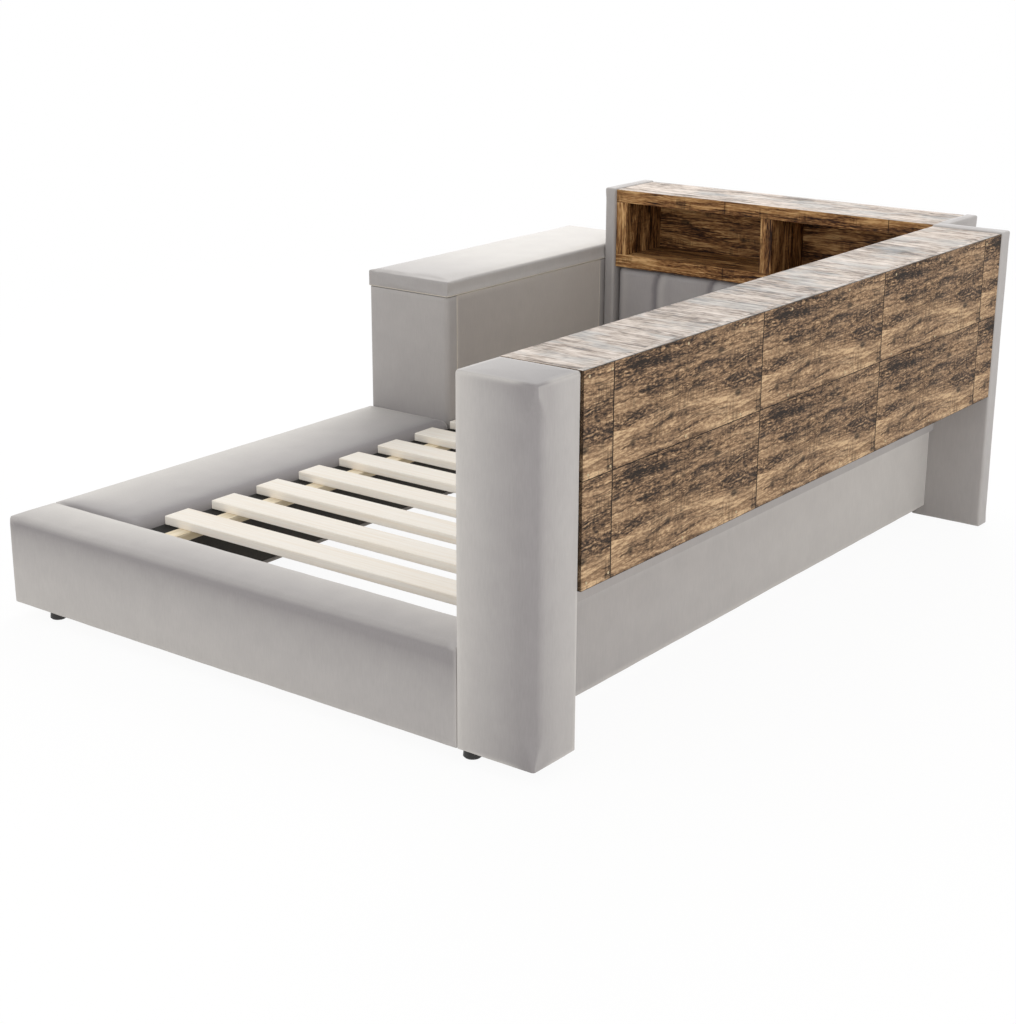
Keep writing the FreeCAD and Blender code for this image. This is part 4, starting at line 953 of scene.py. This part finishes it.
def inflate(piece, held, pressure, cap):
    """Lets the foam push the cover out: cloth under air pressure from inside, with no gravity.

    Points where held is true are stapled and stay. The others move for the frames given, and a
    shift of length d is shortened to cap * tanh(d / cap).
    """
    scene = bpy.context.scene
    start = read(piece)[0]
    stapled = piece.vertex_groups.new(name="stapled")
    stapled.add(np.flatnonzero(held).tolist(), 1.0, "REPLACE")
    cloth = piece.modifiers.new("cloth", "CLOTH")
    cloth.settings.quality = 5
    cloth.settings.use_pressure = True
    cloth.settings.uniform_pressure_force = pressure
    cloth.settings.effector_weights.gravity = 0
    cloth.settings.vertex_group_mass = "stapled"
    cloth.collision_settings.use_collision = False
    for count in range(FRAMES):
        scene.frame_set(count + 1)
    pushed = piece.evaluated_get(bpy.context.evaluated_depsgraph_get())
    shift = read(pushed)[0] - start
    piece.modifiers.remove(cloth)
    piece.vertex_groups.clear()
    scene.frame_set(1)
    length = np.maximum(np.linalg.norm(shift, axis=1), 1e-9)
    write(piece, start + shift * (cap * np.tanh(length / cap) / length)[:, None])


points = read(lid)[0]
board_low, board_high = [np.array(corner)[:2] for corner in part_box("lid_board")]
over_board = ((points[:, 2] < low.z + 2 * MM)
              & (points[:, :2] > board_low - BOARD_MARGIN).all(1)
              & (points[:, :2] < board_high + BOARD_MARGIN).all(1))
points[over_board, 2] += RECESS
write(lid, points)
held = (points[:, 2] < low.z + 5 * MM) | (points[:, 0] < low.x + 4 * MM)
inflate(lid, held, pressure=4, cap=4 * MM)
# The painted edge highlight is almost taken away.
fade_edges(lid, 0.05)
# Painted light and shade: the top lighter towards the far end, the bed side lighter, the other
# sides in painted shade.
points, normals = read(lid)
upward = smooth(normals[:, 2] * 2 - 1)
along = smooth((points[:, 1] - low.y) / (420 * MM))
bed_side = smooth(normals[:, 0] * 2 - 1)
keep(lid, "painted_shading", upward * (0.25 + 0.65 * along) + (1 - upward) * (0.5 * bed_side - 0.2))
dress(lid, light_velvet, "lid", ["lid_cushion"])
welt("lid_welt", low, high, "z", corner=6 * MM, level=low.z - 0.2 * MM, thickness=2.4 * MM,
     body="lid")


# Piano hinge
# Two folded strips of zinc-plated steel whose knuckles take turns on one steel pin.


def plated_steel():
    """Zinc-plated steel, rolled: a bright grey metal with faint rolling lines and dull patches."""
    material, tree, place = new_material("zinc-plated steel, rolled")
    rolled = add(tree, "Mapping", {
        "Vector": place, "Scale": (1 / (0.6 * MM), 1 / (60 * MM), 1 / (0.6 * MM))})
    lines = add(tree, "TexNoise", {"Vector": rolled, "Scale": 1, "Detail": 2})
    dull = add(tree, "TexNoise", {"Vector": place, "Scale": 1 / (14 * MM), "Detail": 3})
    tint = add(tree, "Mix", {"Factor": dull, "A": "#B9B7B2", "B": "#98968F"},
               data_type="RGBA")
    rough = add(tree, "MapRange", {"Value": lines, "To Min": 0.25, "To Max": 0.42})
    return surfaced(material, {"Base Color": tint, "Roughness": rough, "Metallic": 1})


finish_nodes(plated_steel(), "hinge_fixed_leaf", "hinge_moving_leaf", "hinge_pin")


# Boards inside
# Plain chipboard: the boxes under the velvet, the trunk's walls and floor, and the lid's board.


def chipboard():
    """Chipboard, sanded: pressed wood chips 2 to 6 mm long in a pale brown resin."""
    material, tree, place = new_material("chipboard, sanded")
    chips = add(tree, "TexVoronoi", {"Vector": place, "Scale": 1 / (4 * MM)})
    cloud = add(tree, "TexNoise", {"Vector": place, "Scale": 1 / (30 * MM), "Detail": 4})
    chip_tone = add(tree, "ValToRGB", {"Fac": chips.outputs["Color"]},
                    ((0, "#A58A66"), (1, "#C9B088")))
    tint = add(tree, "Mix", {"Factor": cloud, "A": chip_tone, "B": "#B79C76"},
               data_type="RGBA")
    bump = add(tree, "Bump", {"Height": chips, "Strength": 0.2, "Distance": 0.2 * MM})
    return surfaced(material, {"Base Color": tint, "Normal": bump, "Roughness": 0.75})


finish_nodes(chipboard(), "footboard_core", "left_rail_core", "right_rail_core", "head_rail",
             "post_core", "end_panel_cores", "trunk_side_boards", "trunk_end_boards",
             "trunk_floor_board", "lid_board")


# Floor glides
# Moulded feet under the low frame, and thin stops under the panels that stand on the floor.

finish_nodes(plastic("black", "#171614", "#242220", roughness=0.45), "floor_glides")


# Room
# A pale floor, an even white room with three wide soft lights, and the camera at the
# photograph's angle.


def seen_directly(tree):
    """1 for a ray from the camera, a mirror or glass, and 0 for a ray that lights the bed."""
    rays = add(tree, "LightPath").outputs
    seen = add(tree, "Math", {0: rays["Is Camera Ray"], 1: rays["Is Glossy Ray"]},
               operation="MAXIMUM")
    return add(tree, "Math", {0: seen, 1: rays["Is Transmission Ray"]}, operation="MAXIMUM")


floor = new_piece("floor", [(-40, -40, 0), (40, -40, 0), (40, 40, 0), (-40, 40, 0)],
                  [(0, 1, 2, 3)])
material, tree, place = new_material("pale floor, whiter away from the bed")
away = add(tree, "VectorMath", {0: place}, operation="LENGTH")
away = add(tree, "MapRange", {
    "Value": away, "From Min": 1.6, "From Max": 4.5, "To Min": 0.94})
share = add(tree, "Math", {0: seen_directly(tree), 1: away}, operation="MULTIPLY")
matt = add(tree, "BsdfDiffuse", {"Color": "#F2F1EF"})
white = add(tree, "Emission", {"Color": "#FFFFFF"})
both = add(tree, "MixShader", {"Fac": share, 1: matt, 2: white})
add(tree, "OutputMaterial", {"Surface": both})
floor.data.materials.append(material)

world = bpy.data.worlds.new("white room")
bpy.context.scene.world = world
world.use_nodes = True
tree = world.node_tree
tree.nodes.clear()
strength = add(tree, "MapRange", {"Value": seen_directly(tree), "To Min": 0.82})
room = add(tree, "Background", {"Color": "#FFFFFF", "Strength": strength})
add(tree, "OutputWorld", {"Surface": room})


def soft_light(name, place, aim, size, power):
    """A square light at a place, turned to face the point that it aims at."""
    lamp = bpy.data.lights.new(name, "AREA")
    lamp.shape = "SQUARE"
    lamp.size = size
    lamp.energy = power
    holder = bpy.data.objects.new(name, lamp)
    bpy.context.scene.collection.objects.link(holder)
    holder.location = place
    holder.rotation_euler = (Vector(aim) - Vector(place)).to_track_quat("-Z", "Y").to_euler()


soft_light("wide light, back left", (-1.6, 3.0, 3.1), (0, 0.3, 0.3), size=3.5, power=135)
soft_light("soft light from the foot", (-0.2, -4.2, 1.9), (-0.1, 0, 0.3), size=2.5, power=24)
soft_light("soft light from the right", (4.6, -1.2, 1.3), (0.5, 0, 0.4), size=2.5, power=50)

FOCAL_PIXELS = 1905.7
PHOTO_LONG_SIDE = 1024
camera = bpy.data.cameras.new("camera")
camera.sensor_width = 36
camera.lens = FOCAL_PIXELS * camera.sensor_width / PHOTO_LONG_SIDE
camera.clip_end = 100
viewer = bpy.data.objects.new("camera", camera)
bpy.context.scene.collection.objects.link(viewer)
viewer.location = (2.7629, -3.8457, 1.6628)
viewer.rotation_euler = [math.radians(turn) for turn in (71.977, -0.2, 37.235)]
bpy.context.scene.camera = viewer
bpy.context.scene.view_settings.view_transform = "Standard"
